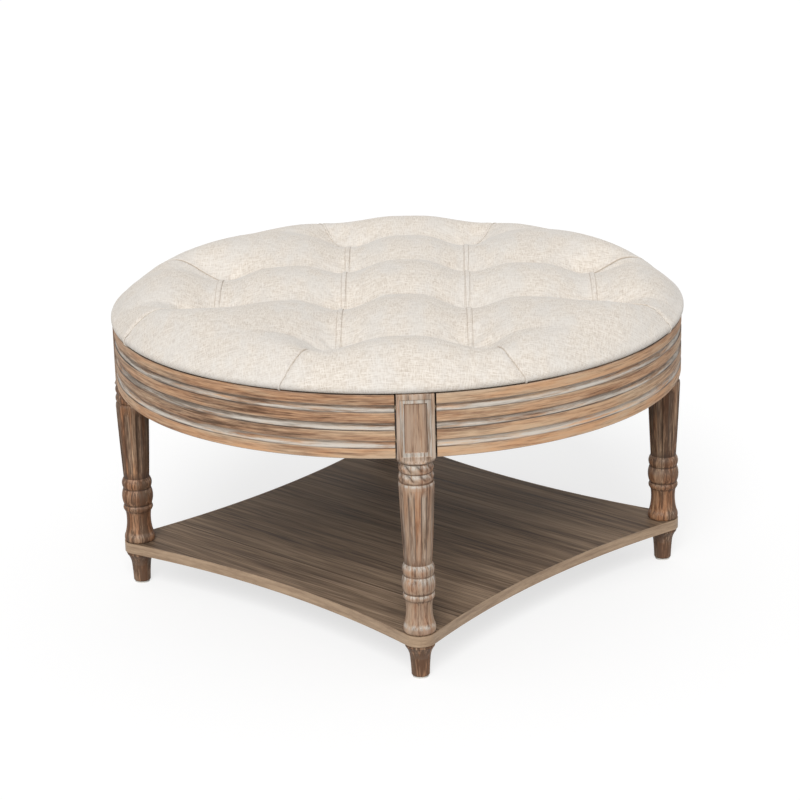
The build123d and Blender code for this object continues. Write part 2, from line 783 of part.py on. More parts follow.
def shelf_outline(inset, mode=Mode.ADD):
    """Four concave sides that run smoothly into the round tips, drawn in by an inset."""
    bend, tip = side_radius + inset, tip_radius - inset
    reach = bend / (side_radius + tip_radius)
    touch = (side_centre - (side_centre - leg_place) * reach, leg_place * reach)
    with BuildLine(mode=Mode.PRIVATE) as rim:
        for quarter in range(4):
            c, s = cos(radians(90 * quarter)), sin(radians(90 * quarter))
            corner = leg_place + tip * sqrt(1 / 2)
            points = [
                (touch[0], -touch[1]),
                (shelf_waist - inset, 0),
                (touch[0], touch[1]),
                (corner, corner),
                (touch[1], touch[0]),
            ]
            p = [(x * c - y * s, x * s + y * c) for x, y in points]
            ThreePointArc(p[0], p[1], p[2])
            ThreePointArc(p[2], p[3], p[4])
    make_face(rim.edges(), mode=mode)


shelf_board_spans = {
    "front": (-shelf_diagonal / 2, -shelf_joint_place - shelf_joint_gap / 2),
    "middle": (-shelf_joint_place + shelf_joint_gap / 2, shelf_joint_place - shelf_joint_gap / 2),
    "back": (shelf_joint_place + shelf_joint_gap / 2, shelf_diagonal / 2),
}
shelf_dowel_height = foot_height + shelf_thickness / 2
shelf_dowel_places = [
    (k * shelf_dowel_pitch / 2, side * shelf_joint_place) for k in (-2, 0, 2) for side in (-1, 1)
]

for name, (low, high) in shelf_board_spans.items():
    with BuildPart() as board:
        with BuildSketch(Plane.XY.offset(foot_height)):
            shelf_outline(band_thickness + band_gap)
            with Locations((0, (low + high) / 2)):
                Rectangle(shelf_diagonal, high - low, mode=Mode.INTERSECT)
        extrude(amount=shelf_thickness)
        if name != "middle":
            with BuildSketch(Plane.XY.offset(foot_height)):
                with Locations(*[(x * leg_place, y * leg_place) for x in (-1, 1) for y in (-1, 1)]):
                    Circle(foot_screw_radius + bore_gap)
            extrude(amount=shelf_thickness, mode=Mode.SUBTRACT)
        for x, y in shelf_dowel_places:
            with BuildSketch(Plane((x, y, shelf_dowel_height), z_dir=(0, 1, 0))):
                Circle(shelf_dowel_radius + bore_gap)
            extrude(amount=shelf_dowel_length / 2 + bore_gap, both=True, mode=Mode.SUBTRACT)
    write(board, f"shelf_board_{name}")

with BuildPart() as shelf_dowels:
    for x, y in shelf_dowel_places:
        with BuildSketch(Plane((x, y, shelf_dowel_height), z_dir=(0, 1, 0))):
            Circle(shelf_dowel_radius)
        extrude(amount=shelf_dowel_length / 2, both=True)
write(shelf_dowels, "shelf_dowels")

for name, angle in side_angles.items():
    with BuildPart() as edge_band:
        with BuildSketch(Plane.XY.offset(foot_height)):
            shelf_outline(0)
            shelf_outline(band_thickness, mode=Mode.SUBTRACT)
            with Locations(turned(angle)):
                Polygon(
                    (band_gap, 0),
                    (shelf_diagonal, shelf_diagonal - band_gap),
                    (shelf_diagonal, band_gap - shelf_diagonal),
                    align=None,
                    mode=Mode.INTERSECT,
                )
        extrude(amount=shelf_thickness)
    write(edge_band, f"shelf_edge_{name}")

with BuildPart() as foot_screws:
    with BuildSketch(Plane.XY.offset(foot_height - foot_screw_bite)):
        with Locations(*[(x * leg_place, y * leg_place) for x in (-1, 1) for y in (-1, 1)]):
            Circle(foot_screw_radius)
    extrude(amount=shelf_thickness + 2 * foot_screw_bite)
write(foot_screws, "foot_screws")

# Foot: a turned cup that narrows to an ankle, on a nailed glide
foot_radius = 19.6
glide_radius = 10.5
glide_thickness = 2.5
glide_pin_radius = 1.4
glide_pin_length = 12.0
foot_start_shares = (0.57, 0.0)
foot_shares = [
    (0.615, 0.035, 0.008),
    (0.69, 0.53, -0.01),
    (0.96, 0.87, -0.06),
    (1.0, 0.90, 0.01),
    (1.0, 0.98, 0.02),
    (0.95, 1.0, 0.0),
]

with BuildPart() as corner_foot:
    with BuildSketch(leg_side_plane):
        with BuildLine():
            start = (foot_start_shares[0] * foot_radius, glide_thickness)
            Line((0, glide_thickness), start)
            foot_rise = foot_height - glide_thickness
            end = outline(foot_start_shares, foot_shares, foot_radius, foot_rise, glide_thickness)
            Line(end, (0, foot_height))
            Line((0, foot_height), (0, glide_thickness))
        make_face()
    revolve(axis=leg_axis)
    bore(Plane((leg_circle_radius, 0, foot_height)), foot_screw_radius + bore_gap, foot_screw_bite + bore_gap)
    pin_seat = Plane((leg_circle_radius, 0, glide_thickness), z_dir=(0, 0, -1))
    bore(pin_seat, glide_pin_radius + bore_gap, glide_pin_length + bore_gap)

with BuildPart() as corner_glide:
    with BuildSketch(Plane.XY):
        with Locations((leg_circle_radius, 0)):
            Circle(glide_radius)
    extrude(amount=glide_thickness)
    with BuildSketch(Plane.XY):
        with Locations((leg_circle_radius, 0)):
            Circle(glide_pin_radius)
    extrude(amount=glide_thickness + glide_pin_length)

for name, angle in corner_angles.items():
    with BuildPart() as foot:
        with Locations(turned(angle)):
            add(corner_foot.part)
    write(foot, f"foot_{name}")
    with BuildPart() as glide:
        with Locations(turned(angle)):
            add(corner_glide.part)
    write(glide, f"glide_{name}")
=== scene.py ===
import math

import bpy
import numpy as np
from mathutils import Matrix, Vector


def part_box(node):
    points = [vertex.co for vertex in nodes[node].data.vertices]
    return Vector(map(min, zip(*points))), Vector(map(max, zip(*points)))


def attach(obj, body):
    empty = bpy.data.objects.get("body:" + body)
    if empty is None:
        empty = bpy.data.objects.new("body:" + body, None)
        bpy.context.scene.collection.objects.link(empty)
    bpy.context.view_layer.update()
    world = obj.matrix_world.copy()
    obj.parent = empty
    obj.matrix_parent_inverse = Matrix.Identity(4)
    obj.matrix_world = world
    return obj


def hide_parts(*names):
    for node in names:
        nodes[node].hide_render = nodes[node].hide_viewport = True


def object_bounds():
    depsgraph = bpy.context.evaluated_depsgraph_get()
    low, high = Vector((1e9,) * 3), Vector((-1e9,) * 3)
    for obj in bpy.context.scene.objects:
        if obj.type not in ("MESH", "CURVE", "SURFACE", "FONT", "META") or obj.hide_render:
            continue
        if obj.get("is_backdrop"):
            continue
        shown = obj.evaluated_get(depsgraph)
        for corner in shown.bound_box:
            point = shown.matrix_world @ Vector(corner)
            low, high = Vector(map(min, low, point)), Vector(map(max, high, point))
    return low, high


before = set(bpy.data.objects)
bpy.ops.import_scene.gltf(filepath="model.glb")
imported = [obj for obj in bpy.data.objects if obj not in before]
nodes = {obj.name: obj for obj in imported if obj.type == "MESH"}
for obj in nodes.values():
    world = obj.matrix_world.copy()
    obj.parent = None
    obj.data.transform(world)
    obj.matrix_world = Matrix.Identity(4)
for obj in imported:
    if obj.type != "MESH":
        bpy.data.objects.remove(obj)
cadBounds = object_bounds()
print("frame loaded:", len(nodes), "nodes")

# Shapes are in millimetres below and become metres when a mesh is made; finishes are in metres.
metresPerMm = 0.001
corners = {"front": -45, "right": 45, "back": 135, "left": 225}
sides = {"front_left": -90, "front_right": 0, "back_right": 90, "back_left": 180}


def nodeSpan(node):
    low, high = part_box(node)
    return np.array(low) / metresPerMm, np.array(high) / metresPerMm


apronLow, apronHigh = nodeSpan("apron_front_right")
shelfLow, shelfHigh = nodeSpan("shelf_board_middle")
glideLow, glideHigh = nodeSpan("glide_right")
boardLow, boardHigh = nodeSpan("seat_board")
seatTop = float(nodeSpan("seat_cover")[1][2])
apronTop = float(apronHigh[2])
apronUnderside = float(apronLow[2])
apronRadius = float(apronHigh[0])
shelfTop = float(shelfHigh[2])
shelfUnderside = float(shelfLow[2])
legCircle = float(np.hypot(*((glideLow + glideHigh) / 2)[:2]))


# Small helpers for numbers and meshes


def smoothStep(low, high, value):
    share = np.clip((value - low) / (high - low), 0, 1)
    return share * share * (3 - 2 * share)


def bell(away, reach, power=2):
    # 1 at no distance, and close to nothing past the reach
    return np.exp(-((away / reach) ** power))


def smoothLine(points):
    # A dense smooth line through a few given points, and the run along it
    p = np.array(points, float)
    p = np.vstack([2 * p[0] - p[1], p, 2 * p[-1] - p[-2]])
    knots = np.concatenate([[0], np.cumsum(np.sqrt(np.linalg.norm(np.diff(p, axis=0), axis=1)))])

    def between(i, j, first, second):
        share = (t - knots[i]) / (knots[j] - knots[i])
        return first * (1 - share) + second * share

    found = []
    for k in range(1, len(p) - 2):
        t = np.linspace(knots[k], knots[k + 1], 40, endpoint=False)[:, None]
        a = [between(k + i - 1, k + i, p[k + i - 1], p[k + i]) for i in range(3)]
        b = [between(k + i - 1, k + i + 1, a[i], a[i + 1]) for i in range(2)]
        found.append(between(k, k + 1, *b))
    found = np.vstack([*found, p[-2]])
    return found, np.concatenate([[0], np.cumsum(np.linalg.norm(np.diff(found, axis=0), axis=1))])


def throughPoints(points, steps):
    # The smooth line in even steps
    found, run = smoothLine(points)
    at = np.linspace(0, run[-1], steps)
    return np.stack([np.interp(at, run, found[:, k]) for k in range(found.shape[1])], 1)


def onCircle(radius, turn, up):
    # Points at a radius, a turn about the axis and a height
    return np.stack(np.broadcast_arrays(radius * np.cos(turn), radius * np.sin(turn), up), -1)


def evenTurns(count):
    return np.arange(count) * (2 * math.pi / count)


def addObject(name, data):
    made = bpy.data.objects.new(name, data)
    bpy.context.scene.collection.objects.link(made)
    return made


def makeMesh(name, points, faces, material, attributes=None, sharpAngle=None):
    # A new object in the row frame from points in millimetres
    mesh = bpy.data.meshes.new(name)
    mesh.from_pydata((np.asarray(points) * metresPerMm).tolist(), [], faces)
    mesh.validate()
    mesh.shade_smooth()
    if sharpAngle:
        mesh.set_sharp_from_angle(angle=math.radians(sharpAngle))
    for key, values in (attributes or {}).items():
        values = np.asarray(values, np.float32)
        kind, field = ("FLOAT", "value") if values.ndim == 1 else ("FLOAT_VECTOR", "vector")
        mesh.attributes.new(key, kind, "POINT").data.foreach_set(field, values.ravel())
    mesh.materials.append(material)
    return addObject(name, mesh)


def meshPoints(mesh):
    found = np.zeros(len(mesh.vertices) * 3, np.float32)
    mesh.vertices.foreach_get("co", found)
    return found.reshape(-1, 3) / metresPerMm


def ringFaces(ringCount, perRing):
    # Faces between equal rings, with a fan at each end to the poles that come after the rings
    faces = []
    for i in range(ringCount - 1):
        for j in range(perRing):
            a, b = i * perRing + j, i * perRing + (j + 1) % perRing
            faces.append((a, b, b + perRing, a + perRing))
    start, last = ringCount * perRing, (ringCount - 1) * perRing
    for j in range(perRing):
        k = (j + 1) % perRing
        faces += [(start, k, j), (start + 1, last + j, last + k)]
    return faces


def withPoles(rings):
    # Ring points as one list, with the middle of the first and last ring added as poles
    rings = np.asarray(rings, float)
    flat = rings.reshape(-1, *rings.shape[2:])
    return np.concatenate([flat, rings[:1].mean(1), rings[-1:].mean(1)])


def joinParts(parts):
    # Several (points, faces, attributes) as one
    points, faces, attributes, first = [], [], {}, 0
    for partPoints, partFaces, partAttributes in parts:
        points.append(partPoints)
        faces += [tuple(first + k for k in face) for face in partFaces]
        for key, values in partAttributes.items():
            attributes.setdefault(key, []).append(values)
        first += len(partPoints)
    return np.concatenate(points), faces, {k: np.concatenate(v) for k, v in attributes.items()}


def turnAbout(points, angle, out):
    # Local points (outward, sideways, up) moved out along a corner's direction
    c, s = math.cos(math.radians(angle)), math.sin(math.radians(angle))
    x, y = points[:, 0] + out, points[:, 1]
    return np.stack([x * c - y * s, x * s + y * c, points[:, 2]], 1)


# Small helpers for materials


def put(tree, kind, inputs=None, **settings):
    made = tree.nodes.new(kind)
    for key, value in settings.items():
        setattr(made, key, value)
    for key, value in (inputs or {}).items():
        if isinstance(value, bpy.types.NodeSocket):
            tree.links.new(value, made.inputs[key])
        else:
            made.inputs[key].default_value = value
    return made


def colour(value):
    # A colour or a grey as four numbers
    return (*value, 1.0) if isinstance(value, tuple) else (value, value, value, 1.0)


def blendColours(tree, factor, low, high, how="MIX"):
    low, high = (colour(c) if isinstance(c, tuple) else c for c in (low, high))
    inputs = {0: factor, 6: low, 7: high}
    return put(tree, "ShaderNodeMix", inputs, data_type="RGBA", blend_type=how).outputs[2]


def calc(tree, how, first, second=0.0):
    return put(tree, "ShaderNodeMath", {0: first, 1: second}, operation=how).outputs[0]


def weighted(tree, *pairs):
    # The sum of sockets times their weights
    parts = [calc(tree, "MULTIPLY", socket, weight) for socket, weight in pairs]
    total = parts[0]
    for part in parts[1:]:
        total = calc(tree, "ADD", total, part)
    return total


def ramp(tree, factor, *stops):
    made = put(tree, "ShaderNodeValToRGB", {"Fac": factor})
    while len(made.color_ramp.elements) < len(stops):
        made.color_ramp.elements.new(0.5)
    for element, (place, value) in zip(made.color_ramp.elements, stops):
        element.position, element.color = place, colour(value)
    return made.outputs["Color"]


def streaks(tree, where, stretch, detail=3.0, roughness=0.6, shift=1.0):
    # Noise drawn out by a different share along each axis, as wood grain is
    inputs = {0: where, 1: stretch, 2: (shift, shift, shift)}
    moved = put(tree, "ShaderNodeVectorMath", inputs, operation="MULTIPLY_ADD").outputs[0]
    inputs = {"Vector": moved, "Scale": 1.0, "Detail": detail, "Roughness": roughness}
    return put(tree, "ShaderNodeTexNoise", inputs).outputs["Fac"]


def attribute(tree, name, output="Fac"):
    return put(tree, "ShaderNodeAttribute", attribute_name=name).outputs[output]


def objectPlace(tree):
    return put(tree, "ShaderNodeTexCoord").outputs["Object"]


def startMaterial(name, roughness, specular=0.5):
    material = bpy.data.materials.new(name)
    material.use_nodes = True
    shader = material.node_tree.nodes["Principled BSDF"]
    shader.inputs["Roughness"].default_value = roughness
    shader.inputs["Specular IOR Level"].default_value = specular
    return material, material.node_tree, shader


def finishWith(tree, shader, colourSocket, height, depth, strength, roughness=None):
    tree.links.new(colourSocket, shader.inputs["Base Color"])
    bump = put(tree, "ShaderNodeBump", {"Height": height, "Distance": depth, "Strength": strength})
    tree.links.new(bump.outputs["Normal"], shader.inputs["Normal"])
    if roughness is not None:
        tree.links.new(roughness, shader.inputs["Roughness"])


# Finishes

linenLook = {
    "cream": (0.715, 0.648, 0.568),
    "threadShadow": (0.570, 0.498, 0.425),
    "slub": (0.810, 0.752, 0.680),
    "greyThread": (0.700, 0.680, 0.650),
    "threadsPerMetre": 820,
    "slubsPerMetre": 560,
    "slubLength": 60,
    "sheen": 0.2,
    # painted crease shade: the colour of the dark lines along the column folds and the pleat lips
    "paintedCreaseShade": (0.42, 0.345, 0.27),
    "creaseShadeColumns": ((0.087, 0.261), (0.261, 0.087)),  # where a column is, and its last tuft
    "creaseShadeOffset": 0.0036,  # from the middle of a column's fold to each of its two lines
    "creaseShadeWidth": 0.0007,
}


def makeLinen(name, look):
    material, tree, shader = startMaterial(name, 0.92, 0.2)
    place = put(tree, "ShaderNodeUVMap", uv_map="weave").outputs["UV"]
    fine, wide, long = look["threadsPerMetre"], look["slubsPerMetre"], look["slubLength"]
    warp = streaks(tree, place, (fine, 2 * long, 1.0), 2.0, 0.55, 3.1)
    weft = streaks(tree, place, (2 * long, fine, 1.0), 2.0, 0.55, 7.7)
    warpSlub = streaks(tree, place, (wide, long, 1.0), 1.0, 0.5, 13.1)
    weftSlub = streaks(tree, place, (long, wide, 1.0), 1.0, 0.5, 17.7)
    slubs = calc(tree, "MAXIMUM", warpSlub, weftSlub)
    tone = calc(tree, "SUBTRACT", weighted(tree, (warp, 0.4), (weft, 0.4), (slubs, 0.35)), 0.0925)
    shade = ramp(tree, tone, (0.38, look["threadShadow"]), (0.5, look["cream"]), (0.61, look["slub"]))
    greys = ramp(tree, streaks(tree, place, (26.0, 12.0, 1.0), shift=1.3), (0.42, 0.0), (0.62, 0.4))
    shade = blendColours(tree, greys, shade, look["greyThread"])
    # painted shade: two thin dark lines where the cloth tucks under the fold between the tufts of a column
    across = put(tree, "ShaderNodeSeparateXYZ", {0: place})
    u, v = (calc(tree, "ABSOLUTE", across.outputs[k]) for k in ("X", "Y"))
    lines = []
    for column, reach in look["creaseShadeColumns"]:
        off = calc(tree, "ABSOLUTE", calc(tree, "SUBTRACT", u, column))
        off = calc(tree, "ABSOLUTE", calc(tree, "SUBTRACT", off, look["creaseShadeOffset"]))
        line = calc(tree, "SUBTRACT", 1.0, calc(tree, "DIVIDE", off, look["creaseShadeWidth"]))
        line = calc(tree, "MAXIMUM", line, 0.0)
        lines.append(calc(tree, "MULTIPLY", line, calc(tree, "LESS_THAN", v, reach)))
    paintedShadeShare = calc(tree, "MULTIPLY", calc(tree, "MAXIMUM", *lines), 0.65)
    # and the painted shade along the crease side of each rim pleat's lip
    paintedShadeShare = calc(tree, "MAXIMUM", paintedShadeShare, attribute(tree, "tuck"))
    finishWith(tree, shader, blendColours(tree, paintedShadeShare, shade, look["paintedCreaseShade"]), tone, 0.0006, 0.6)
    shader.inputs["Sheen Weight"].default_value = look["sheen"]
    shader.inputs["Sheen Roughness"].default_value = 0.6
    return material


carvedLook = {
    "deepBrown": (0.110, 0.062, 0.036),
    "midBrown": (0.345, 0.215, 0.132),
    "tan": (0.610, 0.425, 0.272),
    "orange": (0.540, 0.320, 0.165),
    "pinkGrey": (0.370, 0.255, 0.185),
    "wash": (0.580, 0.535, 0.475),
    "washShade": (0.250, 0.205, 0.165),
    "paintedShadeDark": (0.035, 0.023, 0.017),
}


# Stained wood with a worn grey-white wash; the mesh says where the wash, the painted shade lines and the
# tones lie
def makeCarvedWood(name, look):
    material, tree, shader = startMaterial(name, 0.62, 0.3)
    place = attribute(tree, "grainPlace", "Vector")

    def along(length, across, *noise):
        return streaks(tree, place, (length, across, across), *noise)

    def marked(mark, socket):
        return calc(tree, "MULTIPLY", attribute(tree, mark), socket)

    broad, mid = along(4.0, 70.0, 3.0, 0.55, 2.0), along(16.0, 330.0, 3.0, 0.6, 5.0)
    fine = along(60.0, 900.0, 3.0, 0.6, 15.0)
    grain = weighted(tree, (broad, 0.35), (mid, 0.4), (fine, 0.25))
    toned = calc(tree, "ADD", grain, marked("tone", 0.08))
    wood = ramp(tree, toned, (0.39, look["deepBrown"]), (0.48, look["midBrown"]), (0.59, look["tan"]))
    patches = ramp(tree, along(9.0, 60.0, 3.0, 0.6, 9.0), (0.40, 0.0), (0.58, 0.75))
    wood = blendColours(tree, marked("warm", patches), wood, look["orange"], "OVERLAY")
    paleness = marked("pale", ramp(tree, mid, (0.40, 0.15), (0.60, 1.0)))
    wood = blendColours(tree, paleness, wood, look["pinkGrey"])
    worn = ramp(tree, along(12.0, 190.0, 4.0, 0.7, 12.0), (0.40, 0.1), (0.54, 1.0))
    washTone = ramp(tree, toned, (0.40, look["washShade"]), (0.54, look["wash"]))
    washed = blendColours(tree, marked("wash", worn), wood, washTone)
    # painted shade: dark lines in grooves, at lips and where parts meet, broken up by noise
    broken = ramp(tree, along(7.0, 30.0, 3.0, 0.6, 21.0), (0.38, 0.35), (0.56, 1.0))
    full = blendColours(tree, marked("line", broken), washed, look["paintedShadeDark"])
    finishWith(tree, shader, full, weighted(tree, (grain, 0.8), (worn, 0.06)), 0.0012, 0.55)
    return material


shelfLook = {
    "dark": (0.080, 0.053, 0.035),
    "mid": (0.205, 0.140, 0.092),
    "light": (0.370, 0.268, 0.184),
    "jointPlace": 0.189,  # from the shelf's middle to each joint between its boards
    "jointWidth": 0.0018,
}


def makeShelfWood(name, look):
    material, tree, shader = startMaterial(name, 0.6, 0.18)
    place = objectPlace(tree)
    broad = streaks(tree, place, (1.6, 22.0, 22.0), 4.0)
    mid = streaks(tree, place, (5.0, 120.0, 120.0), shift=14.0)
    fine = streaks(tree, place, (12.0, 480.0, 480.0), shift=4.0)
    grain = weighted(tree, (broad, 0.28), (fine, 0.4), (mid, 0.32))
    shade = ramp(tree, grain, (0.40, look["dark"]), (0.5, look["mid"]), (0.61, look["light"]))
    aside = calc(tree, "ABSOLUTE", put(tree, "ShaderNodeSeparateXYZ", {0: place}).outputs["Y"])
    away = calc(tree, "ABSOLUTE", calc(tree, "SUBTRACT", aside, look["jointPlace"]))
    joint = calc(tree, "MULTIPLY", calc(tree, "LESS_THAN", away, look["jointWidth"]), 0.8)
    shade = blendColours(tree, joint, shade, look["dark"])
    rough = ramp(tree, fine, (0.3, 0.55), (0.7, 0.72))
    finishWith(tree, shader, shade, grain, 0.0008, 0.4, rough)
    return material


plywoodLook = {
    "dark": (0.50, 0.36, 0.22),
    "light": (0.70, 0.55, 0.37),
    "plyShade": (0.72, 0.66, 0.6),
    "plyThickness": 0.0024,
}


def makePlywood(name, look):
    material, tree, shader = startMaterial(name, 0.75)
    place = objectPlace(tree)
    layers = put(tree, "ShaderNodeSeparateXYZ", {0: place}).outputs["Z"]
    band = calc(tree, "PINGPONG", layers, look["plyThickness"])
    face = streaks(tree, place, (3.0, 45.0, 400.0), 4.0, shift=2.0)
    wood = ramp(tree, face, (0.35, look["dark"]), (0.65, look["light"]))
    plies = ramp(tree, calc(tree, "MULTIPLY", band, 400.0), (0.45, 1.0), (0.6, look["plyShade"]))
    finishWith(tree, shader, blendColours(tree, 1.0, wood, plies, "MULTIPLY"), face, 0.0003, 0.4)
    return material


steelLook = {"dark": (0.52, 0.52, 0.53), "light": (0.68, 0.68, 0.67), "roughness": (0.28, 0.45)}


def makeSteel(name, look):
    material, tree, shader = startMaterial(name, 0.35)
    fine = streaks(tree, objectPlace(tree), (300.0, 300.0, 300.0))
    smooth, rough = look["roughness"]
    shade = ramp(tree, fine, (0.3, look["dark"]), (0.7, look["light"]))
    finishWith(tree, shader, shade, fine, 0.0001, 0.3, ramp(tree, fine, (0.3, smooth), (0.7, rough)))
    shader.inputs["Metallic"].default_value = 1.0
    return material


# Two close tones that follow noise; a wood's grain runs along the axis that is stretched least
bareGrain = {"noise": (4.0, 0.6, 3.0), "fineShare": 0.4}
looseThreads = {"roughness": 0.95, "noise": (3.0, 0.7, 1.0), "bump": (0.0004, 0.5), "specular": 0.2}
plainLooks = {
    "shelfEdgeBand": {
        "tones": ((0.25, 0.160, 0.098), (0.50, 0.355, 0.232)),
        "stretch": (14.0, 14.0, 200.0),
        "roughness": 0.5,
        **bareGrain,
    },
    "bareSoftwood": {
        "tones": ((0.50, 0.36, 0.22), (0.70, 0.56, 0.39)),
        "stretch": (30.0, 30.0, 60.0),
        "roughness": 0.7,
        **bareGrain,
    },
    "blackDustCloth": {
        "tones": ((0.012, 0.012, 0.013), (0.035, 0.035, 0.037)),
        "stretch": (1500.0, 1500.0, 1500.0),
        **looseThreads,
    },
    "seatFoam": {
        "tones": ((0.74, 0.69, 0.52), (0.88, 0.84, 0.68)),
        "stretch": (700.0, 700.0, 700.0),
        **looseThreads,
    },
    "waxedTwine": {
        "tones": ((0.52, 0.44, 0.31), (0.78, 0.71, 0.57)),
        "stretch": (900.0, 900.0, 260.0),
        "roughness": 0.85,
        "noise": (3.0, 0.6, 2.0),
        "bump": (0.0003, 0.5),
    },
    "paleGlide": {
        "tones": ((0.70, 0.68, 0.63), (0.80, 0.78, 0.74)),
        "stretch": (700.0, 700.0, 700.0),
        "roughness": 0.5,
        "noise": (2.0, 0.6, 1.0),
        "edge": 0.3,
        "bump": (0.0001, 0.3),
    },
}


def makePlain(name, look):
    material, tree, shader = startMaterial(name, look["roughness"], look.get("specular", 0.5))
    place, stretch = objectPlace(tree), look["stretch"]
    grain = streaks(tree, place, stretch, *look["noise"])
    share = look.get("fineShare")
    if share:
        fine = streaks(tree, place, tuple(6 * s for s in stretch), shift=8.0)
        grain = weighted(tree, (grain, 1 - share), (fine, share))
    edge, (dark, light) = look.get("edge", 0.35), look["tones"]
    shade = ramp(tree, grain, (edge, dark), (1 - edge, light))
    finishWith(tree, shader, shade, grain, *look.get("bump", (0.0004, 0.4)))
    return material


linen = makeLinen("creamLinen", linenLook)
carvedWood = makeCarvedWood("washedCarvedWood", carvedLook)
plain = {name: makePlain(name, look) for name, look in plainLooks.items()}


def dress(material, *names):
    for name in names:
        nodes[name].data.materials.clear()
        nodes[name].data.materials.append(material)


shelfBoards = [f"shelf_board_{place}" for place in ("front", "middle", "back")]
dress(makeShelfWood("darkShelfWood", shelfLook), *shelfBoards)
dress(plain["shelfEdgeBand"], *[f"shelf_edge_{side}" for side in sides])
dress(makePlywood("seatPlywood", plywoodLook), "seat_board")
dress(plain["seatFoam"], "seat_foam")
dress(plain["bareSoftwood"], "apron_dowels", "shelf_dowels", "support_rail_lower", "support_rail_upper")
dress(plain["bareSoftwood"], *[f"corner_brace_{corner}" for corner in corners])
dress(plain["paleGlide"], *[f"glide_{corner}" for corner in corners])
fastenings = ["cover_staples", "dust_cover_staples", "seat_screws", "brace_screws", "foot_screws"]
dress(makeSteel("zincPlatedSteel", steelLook), *fastenings, "leg_bolts", "leg_washers", "leg_nuts")
print("materials made")


# Cushion: a domed cover drawn down at twelve tufts, with pleats that run over the rim

cushionSizes = {
    "tuftPitch": 174.0,  # between neighbouring tufts
    "gridAngle": 41.0,
    "gridShift": (9.5, 9.0),
    "columnDepth": 14.0,
    "columnReach": 62.0,  # from a column's fold to the flat of the puff
    "columnFold": 3.4,
    "columnRunOut": (60.0, 45.0),  # how far inner and outer columns' valleys run past their tufts
    "rowDepth": 18.0,
    "rowPower": 2.0,
    "rowSoftness": 1.0,
    "rowRunOut": (85.0, 110.0),
    "tuftDip": 8.5,
    "dipReach": 46.0,
    "tuftPinch": 5.0,
    "pinchReach": 12.0,
    "spoonDepth": 13.0,  # the outer tufts' dips open out towards the rim, along their pleat
    "spoonPlace": (44.0, 20.0),
    "spoonReach": (30.0, 34.0),
    "lowest": 411.2,  # a tuft stays above the seat board
    "puckers": 7,
    "puckerHeight": 0.9,
    "puckerPlace": (20.0, 260.0),  # distance from the tuft, and its spread squared
    "leastRoom": 6.0,
    "ringStep": 2.2,
    # at the tuft, at the rim, and how fast the one becomes the other
    "pleatDepth": (21.0, 1.4, 4.5),
    "pleatReach": (26.0, 8.0, 5.0),
    "pleatSides": (1.25, 0.8),  # the reach's share on the open and the tucked side
    "creaseDepth": 2.4,
    "creaseReach": 2.2,
    "pleatMargin": 60.0,
    "foldBlend": 1.6,
    # the cover's outline: radius and depth below the solid seat's top, then radius and height
    # above the apron
    "crown": [
        (0, 10.5), (60, 11.5), (120, 15.0), (180, 19.0), (240, 21.0), (290, 20.8), (320, 21.8),
        (342, 25.4), (358, 31.5), (370, 38.0), (380, 44.8), (389, 52.5), (396, 60.5),
    ],
    "rim": [(399.3, 11.0), (399.9, 7.6), (399.2, 4.2), (396.9, 1.7), (393, 0.5), (387, 0.1)],
    "heldHem": (36.0, 12.0),  # from the hem: where drawing in starts to fade and where it ends
    "hemRadius": 345.0,
    "hemThickness": 1.4,
    "boardRoom": 0.6,
    # a rim pleat beside the +u side of the grid, from the tuft out
    "pleatPath": [(261, 87), (277, 103), (300, 117), (328, 128), (347, 137)],
    "pleatEndTurn": 1.6,  # degrees that the pleat turns on while it drops down the rim
}
halfPitch = cushionSizes["tuftPitch"] / 2
gridSteps = (-3, -1, 1, 3)
tuftSteps = [(c, r) for c in gridSteps for r in gridSteps if abs(c) + abs(r) < 6]
gridCos, gridSin = (f(math.radians(cushionSizes["gridAngle"])) for f in (math.cos, math.sin))
shiftX, shiftY = cushionSizes["gridShift"]
outline = [(radius, seatTop - drop) for radius, drop in cushionSizes["crown"]]
outline += [(radius, apronTop + rise) for radius, rise in cushionSizes["rim"]]
outlineDense, outlineRun = smoothLine(outline)
outlineLength = float(outlineRun[-1])
outlineSlope = np.gradient(outlineDense, outlineRun, axis=0)


def toGrid(x, y):
    x, y = x - shiftX, y - shiftY
    return x * gridCos + y * gridSin, y * gridCos - x * gridSin


def fromGrid(u, v):
    return u * gridCos - v * gridSin + shiftX, u * gridSin + v * gridCos + shiftY


def lastTuft(step):
    # How far from the grid's middle the tufts of a column or row go
    return halfPitch * (3 if abs(step) == 1 else 1)


def pleatLines():
    # The eight rim pleats in the flat plane of the unrolled cover
    lines = []
    for quarter in range(4):
        c, s = math.cos(math.pi / 2 * quarter), math.sin(math.pi / 2 * quarter)
        for side in (-1, 1):
            path = [(u * c - side * v * s, u * s + side * v * c) for u, v in cushionSizes["pleatPath"]]
            path = [fromGrid(u, v) for u, v in path]
            x, y = path[-1]
            angle, reach = math.atan2(y, x), math.hypot(x, y)
            left = outlineLength - reach
            for turned, onward in ((0.4, 0.35), (0.8, 0.7), (1.2, 1.1)):
                turn = angle + side * math.radians(cushionSizes["pleatEndTurn"]) * turned
                out = reach + onward * left
                path.append((out * math.cos(turn), out * math.sin(turn)))
            lines.append((side, throughPoints(path, 90)))
    return lines


rimPleats = pleatLines()


